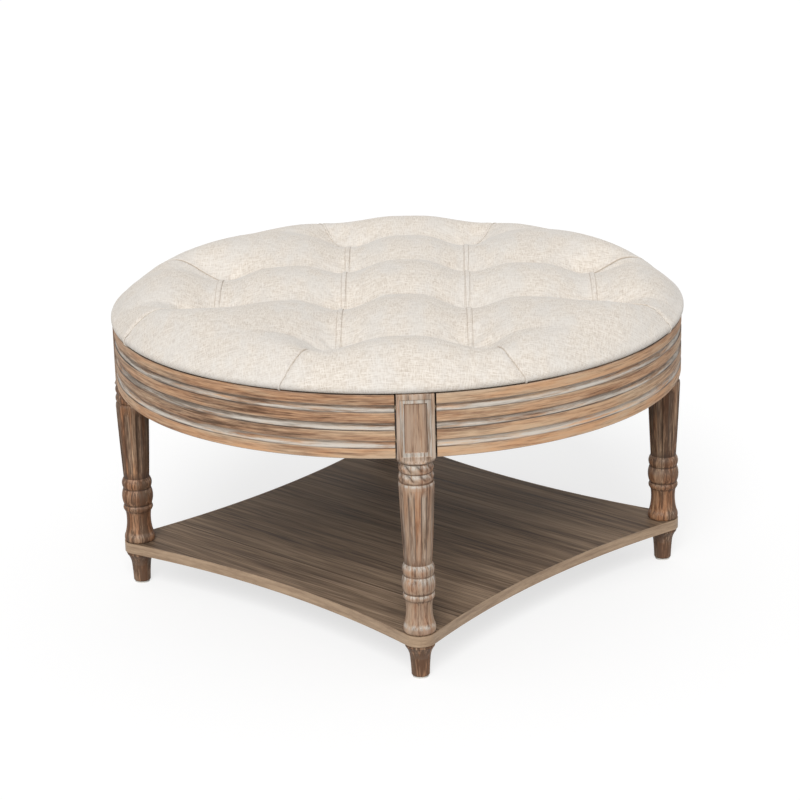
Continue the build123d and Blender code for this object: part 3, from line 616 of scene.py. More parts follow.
def alongLine(line, x, y):
    # Distance from each point to a line, which side of it, and the share of the way along
    best = np.full(x.shape, 1e9)
    beside, share = np.zeros(x.shape), np.zeros(x.shape)
    for k in range(len(line) - 1):
        start, run = line[k], line[k + 1] - line[k]
        t = np.clip(((x - start[0]) * run[0] + (y - start[1]) * run[1]) / (run @ run), 0, 1)
        dx, dy = x - start[0] - t * run[0], y - start[1] - t * run[1]
        away = np.hypot(dx, dy)
        nearer = away < best
        best = np.where(nearer, away, best)
        beside = np.where(nearer, np.sign(run[0] * dy - run[1] * dx), beside)
        share = np.where(nearer, (k + t) / (len(line) - 1), share)
    return best, beside, share


def drawnDown(x, y):
    # How far the cover is drawn in below its smooth outline at points of the unrolled plane
    d = cushionSizes
    u, v = toGrid(x, y)
    total = np.zeros(x.shape)
    for step in gridSteps:
        away = np.maximum(np.abs(u - step * halfPitch) - d["columnFold"], 0)
        column = d["columnDepth"] * (1 - smoothStep(0, d["columnReach"], away))
        away = np.hypot(np.abs(v - step * halfPitch), d["rowSoftness"]) - d["rowSoftness"]
        row = d["rowDepth"] * np.clip(1 - away / halfPitch, 0, 1) ** d["rowPower"]
        for valley, along, runOut in ((column, v, "columnRunOut"), (row, u, "rowRunOut")):
            past = np.maximum(np.abs(along) - lastTuft(step), 0)
            total += valley * bell(past, d[runOut][abs(step) == 3], 1.5)
    for number, (c, r) in enumerate(tuftSteps):
        du, dv = u - c * halfPitch, v - r * halfPitch
        away, turn = np.hypot(du, dv), np.arctan2(dv, du)
        total += d["tuftPinch"] * bell(away, d["pinchReach"], 1) + d["tuftDip"] * bell(away, d["dipReach"])
        if abs(c) + abs(r) == 4:
            ways = [du * np.sign(c), dv * np.sign(r)]
            if abs(r) == 3:
                ways.reverse()
            ways = (np.array(ways).T - d["spoonPlace"]) / d["spoonReach"]
            total += d["spoonDepth"] * bell(np.linalg.norm(ways, axis=-1).T, 1)
        place, spread = d["puckerPlace"]
        pucker = np.cos(d["puckers"] * turn + 1.7 * number) * np.exp(-((away - place) ** 2) / spread)
        total += d["puckerHeight"] * pucker
    for side, line in rimPleats:
        low, high = line.min(0) - d["pleatMargin"], line.max(0) + d["pleatMargin"]
        near = (x > low[0]) & (x < high[0]) & (y > low[1]) & (y < high[1])
        if not near.any():
            continue
        away, beside, share = alongLine(line, x[near], y[near])
        ends = d["pleatDepth"], d["pleatReach"]
        depth, reach = (rim + (tuft - rim) * np.exp(-share * fade) for tuft, rim, fade in ends)
        reach = reach * np.where(beside * side > 0, *d["pleatSides"])
        fold = depth * bell(away, reach, 1.5) + d["creaseDepth"] * bell(away, d["creaseReach"])
        total[near] = (total[near] ** d["foldBlend"] + fold ** d["foldBlend"]) ** (1 / d["foldBlend"])
    # a soft limit keeps the cover above the seat board
    room = np.interp(np.hypot(x, y), outlineRun, outlineDense[:, 1]) - d["lowest"]
    return total / (1 + (np.maximum(total, 0) / np.maximum(room, d["leastRoom"])) ** 8) ** (1 / 8)


def outlineNormal(run):
    # The outline's outward normal, as its share out and up
    out, up = (np.interp(run, outlineRun, outlineSlope[:, k]) for k in (0, 1))
    length = np.hypot(out, up)
    return -up / length, out / length


swelling = None  # a function of run and turn, once the cloth has been inflated


def coverPoints(run, turn):
    # Points of the cushion's outside at a run from the crown along the outline and a turn
    radius, height = (np.interp(run, outlineRun, outlineDense[:, k]) for k in (0, 1))
    normalOut, normalUp = outlineNormal(run)
    fadeStart, fadeEnd = (outlineLength - reach for reach in cushionSizes["heldHem"])
    depth = drawnDown(run * np.cos(turn), run * np.sin(turn))
    if swelling is not None:
        depth = depth - swelling(run, turn)
    depth = depth * (1 - smoothStep(fadeStart, fadeEnd, run))
    return onCircle(radius - depth * normalOut, turn, height - depth * normalUp)


def coverNormal(run, turn):
    step = 1.5
    out = coverPoints(run + step, turn) - coverPoints(run - step, turn)
    side = step / np.maximum(run, 1)
    normal = np.cross(out, coverPoints(run, turn + side) - coverPoints(run, turn - side))
    return normal / np.linalg.norm(normal, axis=-1, keepdims=True)


def bridge(a, n, b, m):
    # Faces from a ring of n points to one of m: as many, twice as many or half as many
    if n > m:
        return [face[::-1] for face in bridge(b, m, a, n)]
    faces = []
    for j in range(n):
        k = (j + 1) % n
        if n == m:
            faces.append((a + j, b + j, b + k, a + k))
            continue
        near, mid, far = b + 2 * j, b + 2 * j + 1, b + (2 * j + 2) % m
        faces += [(a + j, near, mid), (a + j, mid, a + k), (a + k, mid, far)]
    return faces


def polarShell(ringPlaces):
    # Rings of points that close at both poles. Each entry is (count, function of the turn that
    # gives the ring's points, unrolled radius)
    points, flat, firsts, first = [], [], [], 1
    for count, place, reach in ringPlaces:
        turn = evenTurns(count)
        points.append(place(turn))
        flat.append(onCircle(reach, turn, 0)[:, :2])
        firsts.append((first, count))
        first += count
    start, end = points[0].mean(0, keepdims=True), points[-1].mean(0, keepdims=True) * [0, 0, 1]
    count = firsts[0][1]
    faces = [(0, 1 + j, 1 + (j + 1) % count) for j in range(count)]
    for (a, n), (b, m) in zip(firsts, firsts[1:]):
        faces += bridge(a, n, b, m)
    a, n = firsts[-1]
    faces += [(a + j, first, a + (j + 1) % n) for j in range(n)]
    pole = np.zeros((1, 2))
    return np.concatenate([start, *points, end]), faces, np.concatenate([pole, *flat, pole])


def coverRing(run):
    return lambda turn: coverPoints(np.full(turn.shape, run), turn)


def flatRing(radius, height):
    return lambda turn: onCircle(radius, turn, height)


inflation = {
    "ringStep": 8.0,
    "around": 192,
    "underRings": (340, 240, 140, 60),
    "frames": 18,
    "most": 6.0,  # cap on how far a point may swell
    "startShrink": 2.0,
    "tuftHold": 12.0,
    "pleatHold": 9.0,
    "valleyHold": 10.0,
    "looseShare": 0.8,  # how firmly pleats and valleys are held
    "cloth": {
        "vertex_group_mass": "held",
        "use_pressure": True,
        "uniform_pressure_force": 16.0,
        "quality": 6,
        "mass": 0.3,
        "tension_stiffness": 15,
        "compression_stiffness": 15,
        "shear_stiffness": 10,
        "bending_stiffness": 1.0,
        "pin_stiffness": 4.0,
    },
}


def heldShares(flat, underneath):
    # How firmly each point of the coarse copy is held: at tufts, pleats, valleys and underneath
    d = inflation
    u, v = toGrid(*flat.T)
    holds = [bell(np.hypot(u - c * halfPitch, v - r * halfPitch), d["tuftHold"]) for c, r in tuftSteps]
    holds += [d["looseShare"] * bell(alongLine(line, *flat.T)[0], d["pleatHold"]) for side, line in rimPleats]
    for across, along in ((u, v), (v, u)):
        for step in gridSteps:
            near = bell(across - step * halfPitch, d["valleyHold"])
            holds.append(d["looseShare"] * near * (np.abs(along) < lastTuft(step)))
    hold = np.max(holds, axis=0)
    hold[underneath:] = 1.0
    return hold


def told(values):
    return f"from {values.min():.1f} to {values.max():.1f} mm"


def simulateFilling():
    # Inflates a coarse copy of the cushion as cloth, and gives its swelling along the outline's normal
    d = inflation
    runs, around = np.arange(d["ringStep"], outlineLength, d["ringStep"]), d["around"]
    places = [(around, coverRing(run), run) for run in runs]
    places += [(around, flatRing(radius, apronTop), 0) for radius in d["underRings"]]
    points, faces, flat = polarShell(places)
    coarse = makeMesh("coarseCushion", points, faces, linen)
    top = len(runs) * around
    hold = heldShares(flat, 1 + top - 3 * around)
    group = coarse.vertex_groups.new(name="held")
    for index in np.nonzero(hold > 0.05)[0]:
        group.add([int(index)], float(min(hold[index], 1.0)), "REPLACE")
    cloth = coarse.modifiers.new("filling", "CLOTH")
    cloth.settings.effector_weights.gravity = 0
    for key, value in d["cloth"].items():
        setattr(cloth.settings, key, value)
    for number in range(1, d["frames"] + 1):
        bpy.context.scene.frame_set(number)
    shown = coarse.evaluated_get(bpy.context.evaluated_depsgraph_get())
    change = meshPoints(shown.data) - points
    bpy.context.scene.frame_set(1)
    bpy.data.meshes.remove(coarse.data)
    change = change[1:1 + top].reshape(len(runs), around, 3)
    free = 1 - hold[1:1 + top].reshape(len(runs), around)
    normalOut, normalUp = outlineNormal(runs)
    turn = evenTurns(around)
    out = change[..., 0] * np.cos(turn) + change[..., 1] * np.sin(turn)
    swell = out * normalOut[:, None] + change[..., 2] * normalUp[:, None]
    print("cloth moved", told(swell))
    swell = np.clip(swell - d["startShrink"], -d["most"], d["most"]) * free
    print("cloth filling: swelling", told(swell))
    return runs, swell


def makeSwelling(runs, swell):
    # Reads the swelling between the coarse copy's points
    count = swell.shape[1]

    def swellAt(run, turn):
        row = np.clip((run - runs[0]) / (runs[1] - runs[0]), 0, len(runs) - 1.001)
        column = (turn / (2 * math.pi) * count) % count
        i, j = row.astype(int), column.astype(int) % count
        p, q, k = row - i, column - np.floor(column), (j + 1) % count
        near = swell[i, j] * (1 - q) + swell[i, k] * q
        far = swell[i + 1, j] * (1 - q) + swell[i + 1, k] * q
        return near * (1 - p) + far * p

    return swellAt


swelling = makeSwelling(*simulateFilling())

# the lip's painted shade: its strength at the tuft, then at the rim
pleatLip = {"width": 4.6, "thickness": 1.9, "offset": 1.7, "lift": 0.8, "around": 12, "shade": (0.95, 0.5)}


def foldLip(line, side):
    # A thin folded edge of cloth that lies along a pleat, as a lens-shaped strip, with painted shade on its
    # edge towards the crease
    d = pleatLip
    along = np.gradient(line, axis=0)
    along /= np.linalg.norm(along, axis=1, keepdims=True)
    middle = line + np.stack([-along[:, 1], along[:, 0]], 1) * side * d["offset"]
    run, turn = np.hypot(middle[:, 0], middle[:, 1]), np.arctan2(middle[:, 1], middle[:, 0])
    keep = run < outlineLength - 5
    run, turn = run[keep], turn[keep]
    centre, normal = coverPoints(run, turn), coverNormal(run, turn)
    forward = np.gradient(centre, axis=0)
    forward /= np.linalg.norm(forward, axis=1, keepdims=True)
    across = np.cross(normal, forward)
    taper = np.sin(np.linspace(0.12, math.pi * 0.86, len(run))) ** 0.5
    angles = evenTurns(d["around"])
    wide = d["width"] / 2 * np.cos(angles)[:, None]
    thick = d["thickness"] / 2 * np.sin(angles)[:, None]
    rings = [
        c + t * (wide * a + thick * n) + n * d["lift"] for c, t, a, n in zip(centre, taper, across, normal)
    ]
    flat = onCircle(run, turn, 0)[:, None, :2] + onCircle(d["width"] / 2, angles, 0)[None, :, :2]
    # painted shade on the half of the lip towards the crease, stronger near the tuft
    shade = taper * np.linspace(*d["shade"], len(run))
    tuck = smoothStep(0.1, 0.8, -side * np.cos(angles)) * shade[:, None]
    faces = [face[::-1] for face in ringFaces(len(rings), len(angles))]
    return withPoles(rings), faces, {"flat": withPoles(flat), "tuck": withPoles(tuck)}


def layWeave(piece, flat):
    # UV map of the unrolled cloth in metres, turned to the grid of tufts
    corner = np.zeros(len(piece.data.loops), np.int32)
    piece.data.loops.foreach_get("vertex_index", corner)
    places = np.stack(toGrid(*flat.T), 1)[corner] * metresPerMm
    piece.data.uv_layers.new(name="weave").data.foreach_set("uv", places.astype(np.float32).ravel())


def makeCushion():
    d = cushionSizes
    places, run = [], 3.0
    while run < outlineLength:
        count = 256 if run < 110 else 512 if run < 215 else 1024
        places.append((count, coverRing(run), run))
        run += d["ringStep"] * (1.25 if run < 215 else 1.0)
    # the hem runs in under the board, and the cover's inside comes back over it
    hemFoot, hemTop, hemRadius = apronTop + 0.05, apronTop + d["hemThickness"], d["hemRadius"]
    boardReach, boardRoof = float(boardHigh[0]) + d["boardRoom"], float(boardHigh[2]) + 1.0
    hem = [(1024, outlineDense[-1][0], hemFoot), (512, 375, hemFoot), (256, hemRadius, hemFoot)]
    hem += [(256, hemRadius, hemTop), (256, boardReach, hemTop)]
    hem += [(256, radius, boardRoof) for radius in (boardReach, 200, 60)]
    places += [(count, flatRing(radius, height), outlineLength) for count, radius, height in hem]
    points, faces, flat = polarShell(places)
    parts = [(points, faces, {"flat": flat, "tuck": np.zeros(len(points))})]
    parts += [foldLip(line, side) for side, line in rimPleats]
    points, faces, attributes = joinParts(parts)
    cushion = makeMesh("cushion", points, faces, linen, {"tuck": attributes["tuck"]})
    layWeave(cushion, attributes["flat"])
    return cushion


cushion = makeCushion()
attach(cushion, "root")
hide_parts("seat_cover", "seat_foam")
print("cushion made:", len(cushion.data.polygons), "faces")


# Fold strips: the flat tuck that shows as two lines in each column between tufts

foldStrip = {"width": 6.6, "thickness": 1.8, "lift": 0.5, "points": 40, "startGap": 5.0}


def foldStripTree():
    # Geometry Nodes: a lens-shaped strip along each line of the mesh, tapered at its ends
    tree = bpy.data.node_groups.new("foldStripTree", "GeometryNodeTree")
    sockets = (("Geometry", "Geometry"), ("Width", "Float"), ("Thickness", "Float"), ("Cloth", "Material"))
    for label, kind in sockets:
        tree.interface.new_socket(label, in_out="INPUT", socket_type="NodeSocket" + kind)
    tree.interface.new_socket("Geometry", in_out="OUTPUT", socket_type="NodeSocketGeometry")
    given, result = tree.nodes.new("NodeGroupInput").outputs, tree.nodes.new("NodeGroupOutput")
    line = put(tree, "GeometryNodeMeshToCurve", {"Mesh": given["Geometry"]}).outputs["Curve"]
    line = put(tree, "GeometryNodeSetCurveNormal", {"Curve": line}).outputs["Curve"]
    share = put(tree, "GeometryNodeSplineParameter").outputs["Factor"]
    taper = calc(tree, "POWER", calc(tree, "SINE", calc(tree, "MULTIPLY", share, math.pi)), 0.3)
    circle = put(tree, "GeometryNodeCurvePrimitiveCircle", {"Resolution": 12, "Radius": 0.5}).outputs["Curve"]
    size = put(tree, "ShaderNodeCombineXYZ", {"X": given["Width"], "Y": given["Thickness"], "Z": 1.0})
    lens = put(tree, "GeometryNodeTransform", {"Geometry": circle, "Scale": size.outputs[0]})
    inputs = {"Curve": line, "Profile Curve": lens.outputs["Geometry"], "Scale": taper, "Fill Caps": True}
    strip = put(tree, "GeometryNodeCurveToMesh", inputs).outputs["Mesh"]
    real = put(tree, "GeometryNodeRealizeInstances", {"Geometry": strip}).outputs["Geometry"]
    done = put(tree, "GeometryNodeSetMaterial", {"Geometry": real, "Material": given["Cloth"]})
    tree.links.new(done.outputs["Geometry"], result.inputs["Geometry"])
    return tree


def applyTree(piece, tree, values):
    # Runs a tree on a piece and keeps the result as its plain mesh
    modifier = piece.modifiers.new(tree.name, "NODES")
    modifier.node_group = tree
    for item in tree.interface.items_tree:
        if item.in_out == "INPUT" and item.name in values:
            modifier[item.identifier] = values[item.name]
    bpy.context.view_layer.update()
    shown = piece.evaluated_get(bpy.context.evaluated_depsgraph_get())
    result = bpy.data.meshes.new_from_object(shown)
    piece.modifiers.remove(modifier)
    piece.data = result
    piece.data.shade_smooth()


def makeFoldStrips():
    d = foldStrip
    points, edges = [], []
    for c in gridSteps:
        for low, high in [(-1, 1)] if abs(c) == 3 else [(-3, -1), (-1, 1), (1, 3)]:
            v = np.linspace(low * halfPitch + d["startGap"], high * halfPitch - d["startGap"], d["points"])
            x, y = fromGrid(c * halfPitch, v)
            first = len(points)
            points += (coverPoints(np.hypot(x, y), np.arctan2(y, x)) + [0, 0, d["lift"]]).tolist()
            edges += [(first + k, first + k + 1) for k in range(d["points"] - 1)]
    mesh = bpy.data.meshes.new("foldStrips")
    mesh.from_pydata((np.array(points) * metresPerMm).tolist(), edges, [])
    strips = addObject("foldStrips", mesh)
    values = {"Width": d["width"] * metresPerMm, "Thickness": d["thickness"] * metresPerMm, "Cloth": linen}
    applyTree(strips, foldStripTree(), values)
    layWeave(strips, meshPoints(strips.data)[:, :2])
    return strips


foldStrips = makeFoldStrips()
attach(foldStrips, "root")
print("fold strips made")


# Carved parts: turned outlines and what the finish does on them


def turnedOutline(start, rows, radius, height, base):
    # Points of a turned outline made of lines and arcs; also the step that each point is on.
    # Each row is a step's end: its share of the radius, its share of the height, and its swell
    here = np.array([start[0] * radius, base + start[1] * height])
    points, steps = [here], [0]
    for number, (out, up, swell) in enumerate(rows):
        there = np.array([out * radius, base + up * height])
        run = there - here
        chord = np.linalg.norm(run)
        aside = np.array([run[1], -run[0]]) / chord * swell * radius
        count = 10 if swell or chord > 12 else 3
        for share in np.linspace(0, 1, count + 1)[1:]:
            points.append(here + run * share + aside * 4 * share * (1 - share))
            steps.append(number)
        here = there
    return np.array(points), np.array(steps)


def latheGrid(outline, count):
    # Radius, height and turn at each point of an outline carried round its axis
    return np.broadcast_arrays(outline[:, :1], outline[:, 1:], evenTurns(count)[None])


def carvedMarks(grain, **marks):
    # The grain's place and what the finish does at each point of a ringed part, with its poles
    shape = grain.shape[:2]
    found = {key: withPoles(np.broadcast_to(value, shape)) for key, value in marks.items()}
    return {"grainPlace": withPoles(grain), **found}


# Apron: four curved rails with three washed coves between four bands

apronSizes = {
    "thickness": 22.0,
    "coveHeight": 10.2,
    "coveDepth": 4.0,
    "coves": 3,
    "chamfer": 1.0,
    # leg's diagonal to the rail's end, inside and outside: a shadow line at the block
    "endGap": (24.9, 26.5),
    "steps": 150,
    "shadeLineWidth": 0.7,
    "bandTones": (0.1, -0.15, -0.25, 0.6),
    "bandWarmth": (0.5, 0.45, 0.35, 0.6),
    "sideTones": {"front_left": 0.0, "front_right": 0.4, "back_right": 0.1, "back_left": -0.1},
}


def apronProfile():
    # Closed outline of the rail: radius, height, wash, painted shade line, tone and warmth at each point
    d = apronSizes
    chamfer, count, coveHeight = d["chamfer"], d["coves"], d["coveHeight"]
    band = (apronTop - apronUnderside - count * coveHeight) / (count + 1)
    rows = []

    def add(radius, height, wash, line, number, paintedShade=0.0):
        rows.append((radius, height, wash, line, d["bandTones"][number] - paintedShade, d["bandWarmth"][number]))

    add(apronRadius - chamfer, apronUnderside, 0.5, 0.0, count)
    for number in range(count, -1, -1):
        foot = apronUnderside + (count - number) * (band + coveHeight)
        low = foot + (chamfer if number == count else d["shadeLineWidth"])
        high = foot + band - (d["shadeLineWidth"] if number else chamfer)
        if number < count:
            # painted shade line under the band, at the upper lip of the cove below it
            add(apronRadius, foot, 0.0, 0.5, number)
        for share in (0.0, 0.05, 0.35, 0.65, 0.95, 1.0):
            edge = 0.3 if share in (0.0, 1.0) else 0.05
            add(apronRadius, low + (high - low) * share, edge, 0.0, number)
        if not number:
            break
        # painted shade line at the band's top, the lower lip of the cove above
        add(apronRadius, foot + band, 0.1, 0.9, number)
        # the cove runs from its lower lip to its upper one, with painted shade lines at both lips; its upper
        # part gets painted shade under the band above: less wash and a darker tone
        for share in (0.04, 0.12, 0.25, 0.4, 0.55, 0.7, 0.82, 0.92, 0.97):
            radius = apronRadius - d["coveDepth"] * math.sin(math.pi * share) ** 0.75
            line = 0.45 if share > 0.95 else 0.85 if share < 0.05 else 0.0
            upper = smoothStep(0.3, 0.5, share)
            add(radius, foot + band + coveHeight * share, 1.0 - 0.2 * upper, line, number, 0.55 * upper)
    # painted shadow line along the top edge, under the cushion
    add(apronRadius - chamfer, apronTop, 0.1, 0.9, 0)
    add(apronRadius - d["thickness"], apronTop, 0.0, 0.0, 0)
    add(apronRadius - d["thickness"], apronUnderside, 0.0, 0.0, count)
    return np.array(rows)


def makeApron(name, angle, seed, sideTone):
    d = apronSizes
    radius, height, wash, line, tone, warm = apronProfile().T
    inside, outside = d["endGap"]
    gap = inside + (outside - inside) * smoothStep(apronRadius - 14, apronRadius - 8, radius)
    share = np.concatenate([[-1], np.linspace(-0.9985, 0.9985, d["steps"]), [1]])[:, None]
    turn = (math.pi / 4 - np.arcsin(gap / radius)) * share + math.radians(angle)
    grain = np.stack(np.broadcast_arrays(apronRadius * turn, height, radius), -1) * metresPerMm
    # painted shade at the rail's ends, in the gap beside the leg's block
    line = np.minimum(line + 0.9 * (np.abs(share) > 0.999), 1)
    marks = carvedMarks(grain + [seed, 0, 0], wash=wash, line=line, tone=tone + sideTone, warm=warm, pale=0)
    faces = [face[::-1] for face in ringFaces(len(turn), len(radius))]
    return makeMesh(name, withPoles(onCircle(radius, turn, height)), faces, carvedWood, marks, 40)


for number, (side, angle) in enumerate(sides.items()):
    name = "apron" + "".join(word.capitalize() for word in side.split("_"))
    apron = makeApron(name, angle, 1.7 * number, apronSizes["sideTones"][side])
    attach(apron, "root")
    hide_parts(f"apron_{side}")
print("aprons made")


# Legs: a square block with a sunk panel, two rope-carved beads and a fluted, turned taper

legSizes = {
    "blockWidth": 49.0,
    "blockDrop": 8.6,
    "blockChamfer": 1.2,
    "shoulderRise": 9.0,
    "shoulderShares": (0, 0.08, 0.2, 0.35, 0.5, 0.7, 0.85, 1),
    "panelSide": 4.8,
    "panelTop": 7.6,
    "panelFoot": 10.2,
    "panelStep": 1.2,
    "panelBorder": 5.2,
    "panelSink": 3.2,
    "panelLip": 0.5,
    "panelBevel": 1.4,
    "shoulderBow": 1.4,
    "topEdge": (0.8, 0.5),  # height and depth of the block's broken upper edge
    "turnedRadius": 23.0,
    "around": 160,
    "flutes": 8,
    "fluteSink": 2.2,
    "fluteRadius": (6.6, 8.4),
    "fluteSpanShares": (0.45, 0.825),
    "ropeLobes": 8,
    "ropeDepth": 3.6,
    "ropeLean": 0.9,
    # how brown and how washed each leg is
    "finish": {"front": (-0.15, 1.0), "right": (-0.75, 0.3), "back": (-0.7, 0.6), "left": (-1.05, 0.25)},
    "pinkness": 0.6,
    "ropeShift": 0.8,  # radians from the lower bead's lobes to the upper one's
    "turnedWash": (0.1, 0.42),  # on plain wood and in a flute
    "stepWash": (0.2, 0.88),  # at the foot and top of a washed step
    # painted shade: dark lines in the rope's grooves, at the flutes' edges and on narrow steps
    "grooveShadeLines": (0.6, 0.75),  # in the rope and at a flute's edge
    "stepShadeLines": (0.65, 0.35),
    "turnedWarmth": 0.8,
    # on the block: in the sunk field, on its border, elsewhere
    "blockWash": (0.12, 0.95, 0.42),
    "blockShadeLines": (0.45, 0.5),  # at the field's edge and under the shoulder
    "blockWarmth": (1.0, 0.3),  # along edges and elsewhere
    "blockTone": (0.0, 0.25),  # in the field and elsewhere
    "blockPale": (0.75, 0.6),
    "faceProud": 0.8,  # the block's face stands almost flush with the apron
    # the turned outline from the shelf up
    "startShares": (0.83, 0.0),
    "outlineShares": [
        (0.93, 0.012, 0.015), (0.87, 0.052, 0.035), (0.785, 0.190, -0.075), (0.86, 0.202, 0.0),
        (0.86, 0.233, 0.055), (0.85, 0.237, 0.0), (0.87, 0.241, 0.0), (0.87, 0.336, 0.09),
        (0.85, 0.342, 0.0), (0.80, 0.407, 0.10), (0.795, 0.413, 0.0), (1.0, 0.848, 0.012),
        (0.985, 0.880, 0.015), (0.915, 0.886, 0.0), (0.915, 0.936, 0.085), (0.915, 0.942, 0.0),
        (0.915, 0.992, 0.085), (0.93, 1.0, 0.0),
    ],
    # steps of that outline, counted from 0
    "ropeSteps": (14, 16),
    "washedSteps": (1, 4, 7, 9, 12, 14, 16),
    "shadeLineSteps": (5, 6, 8, 10, 13, 15, 17),
    "faintShadeSteps": (3,),
}
blockUnderside = apronUnderside - legSizes["blockDrop"]


def fluteCut(radius, height, turn):
    # Radius of the turned part where round flutes with round ends are cut into it
    d = legSizes
    span = shelfTop + np.array(d["fluteSpanShares"]) * (blockUnderside - shelfTop)
    share = np.clip((height - span[0]) / (span[1] - span[0]), 0, 1)
    cutter = d["fluteRadius"][0] + (d["fluteRadius"][1] - d["fluteRadius"][0]) * share
    past = np.maximum(np.maximum(span[0] - height, height - span[1]), 0)
    axis = radius - d["fluteSink"] + cutter
    reach = np.sqrt(np.maximum(cutter**2 - past**2, 0))
    pitch = 2 * math.pi / d["flutes"]
    off = (turn % pitch) - pitch / 2
    inside = np.maximum(reach**2 - (axis * np.sin(off)) ** 2, 0)
    cut = np.where(inside > 0, axis * np.cos(off) - np.sqrt(inside), radius)
    return np.minimum(radius, cut)


def turnedPart(seed, tone, washing):
    d = legSizes
    height = blockUnderside - shelfTop
    outline, steps = turnedOutline(d["startShares"], d["outlineShares"], d["turnedRadius"], height, shelfTop)
    radius, up, turn = latheGrid(outline, d["around"])
    cut = fluteCut(radius, up, turn)
    sunk = np.clip((radius - cut) / d["fluteSink"], 0, 1)

    def upStep(step):
        # Which points lie on a step, and their share of the way up it
        here = steps == step
        span = outline[here, 1:]
        return here, (span - span.min()) / (span.max() - span.min())

    # the two beads are carved as rope: lobes that lean, with deep lines between them
    groove = np.zeros(cut.shape)
    for number, step in enumerate(d["ropeSteps"]):
        here, share = upStep(step)
        across = 2 * share - 1
        phase = d["ropeLobes"] * turn[here] / 2 + d["ropeLean"] * across + d["ropeShift"] * number
        groove[here] = (1 - np.abs(np.cos(phase)) ** 0.75) * np.clip(1.5 - across**2, 0, 1)
        cut[here] -= d["ropeDepth"] * groove[here] * np.clip(1.2 - across**2, 0, 1)
    low, high = d["turnedWash"]
    wash = low + (high - low) * sunk
    low, high = d["stepWash"]
    for step in d["washedSteps"]:
        here, share = upStep(step)
        wash[here] = low + (high - low) * smoothStep(0.35, 0.8, share)
    # painted shade in the rope's grooves, at the flutes' edges and on the narrow steps beside the beads
    inRope, inFlute = d["grooveShadeLines"]
    line = inRope * smoothStep(0.3, 0.9, groove)
    line += inFlute * smoothStep(0.02, 0.2, sunk) * (1 - smoothStep(0.5, 0.9, sunk))
    for which, dark in zip((d["shadeLineSteps"], d["faintShadeSteps"]), d["stepShadeLines"]):
        line[np.isin(steps, which)] = dark
    points = onCircle(cut, turn, up)
    marks = carvedMarks(
        np.roll(points, 1, -1) * metresPerMm + [seed * 2.3, 0, 0],
        wash=wash * washing,
        line=line,
        warm=d["turnedWarmth"] * (1 - sunk),
        tone=tone,
        pale=d["pinkness"] * washing**2,
    )
    return withPoles(points), ringFaces(*cut.shape), marks


def blockPart(seed, tone):
    d = legSizes
    half, lip, border = d["blockWidth"] / 2, d["panelLip"], d["panelBorder"]
    panelHalf = half - d["panelSide"]
    innerHalf = panelHalf - border
    low, high = blockUnderside + d["panelFoot"], apronTop - d["panelTop"]
    # columns and rows of points, close together at the panel's edges
    insets = (-lip, lip, d["panelBevel"], border - lip, border + lip, border + 4)
    across = sorted({0} | {sign * (panelHalf - inset) for inset in insets for sign in (-1, 1)})
    corner = half - d["blockChamfer"]
    front = [math.atan2(a, half) for a in [-corner, *across, corner]]
    other = [math.atan2(a * corner, half) for a in (-1, -0.5, 0, 0.5, 1)]
    turn = np.array(front + [math.pi / 2 * k + a for k in (1, 2, 3) for a in other])
    heights = {blockUnderside + d["shoulderRise"] * share for share in d["shoulderShares"]}
    heights |= {low + inset for inset in insets} | {high - inset for inset in insets}
    heights = np.array(sorted(heights | {(low + high) / 2, apronTop - d["topEdge"][0], apronTop}))
    cosine, sine = np.cos(turn), np.sin(turn)
    sidesAt = np.maximum(np.abs(cosine), np.abs(sine)) / half
    chamfersAt = (np.abs(cosine) + np.abs(sine)) / (2 * half - d["blockChamfer"])
    # the round shoulder meets the square block
    diagonal = half * math.sqrt(2)
    share = np.clip((heights - blockUnderside) / d["shoulderRise"], 0, 1)
    bow = d["turnedRadius"] * (1 - share) + diagonal * share + d["shoulderBow"] * np.sin(math.pi * share)
    radius = np.minimum(1 / np.maximum(sidesAt, chamfersAt), np.where(share < 1, bow, diagonal)[:, None])
    radius[-1] -= d["topEdge"][1]
    x, y, up = np.broadcast_arrays(radius * cosine, radius * sine, heights[:, None])
    onFront, aside = np.abs(turn) < math.pi / 4 - 0.02, np.abs(y)

    def framed(reach, inset):
        return onFront & (aside < reach) & (up > low + inset) & (up < high - inset)

    inPanel, inField = framed(panelHalf, 0), framed(innerHalf, border)
    setBack = legCircle + half - apronRadius - d["faceProud"]
    x = x - setBack * smoothStep(-half, half, x) * smoothStep(-2, 6, up - blockUnderside)
    x = x - np.where(inField, d["panelSink"], np.where(inPanel, d["panelStep"], 0))
    # painted shade lines at the sunk field's edge and under the shoulder
    (field, edging, rest), (fieldEdgeShade, shoulderShade) = d["blockWash"], d["blockShadeLines"]
    orange = inField & (np.abs(aside - innerHalf) < 2.0) | (onFront & ~inPanel & (aside > panelHalf))
    marks = carvedMarks(
        np.stack([up, y, x], -1) * metresPerMm + [seed * 2.3 + 0.7, 0.1, 0],
        wash=np.where(inField, field, np.where(inPanel, edging, rest)),
        line=np.where(inField & (aside > innerHalf - 1), fieldEdgeShade, shoulderShade * (share[:, None] < 0.1)),
        warm=np.where(orange, *d["blockWarmth"]),
        tone=np.where(inField, *d["blockTone"]) + tone,
        pale=np.where(inField, *d["blockPale"]),
    )
    return withPoles(np.stack([x, y, up], -1)), ringFaces(*x.shape), marks


for seed, (corner, angle) in enumerate(corners.items()):
    tone, washing = legSizes["finish"][corner]
    points, faces, marks = joinParts([turnedPart(seed, tone, washing), blockPart(seed, tone)])
    points = turnAbout(points, angle, legCircle)
    leg = makeMesh("leg" + corner.capitalize(), points, faces, carvedWood, marks, 38)
    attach(leg, "root")
    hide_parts(f"leg_{corner}")
print("legs made")


# Under the seat: the dust cover, and the twine that draws each tuft down

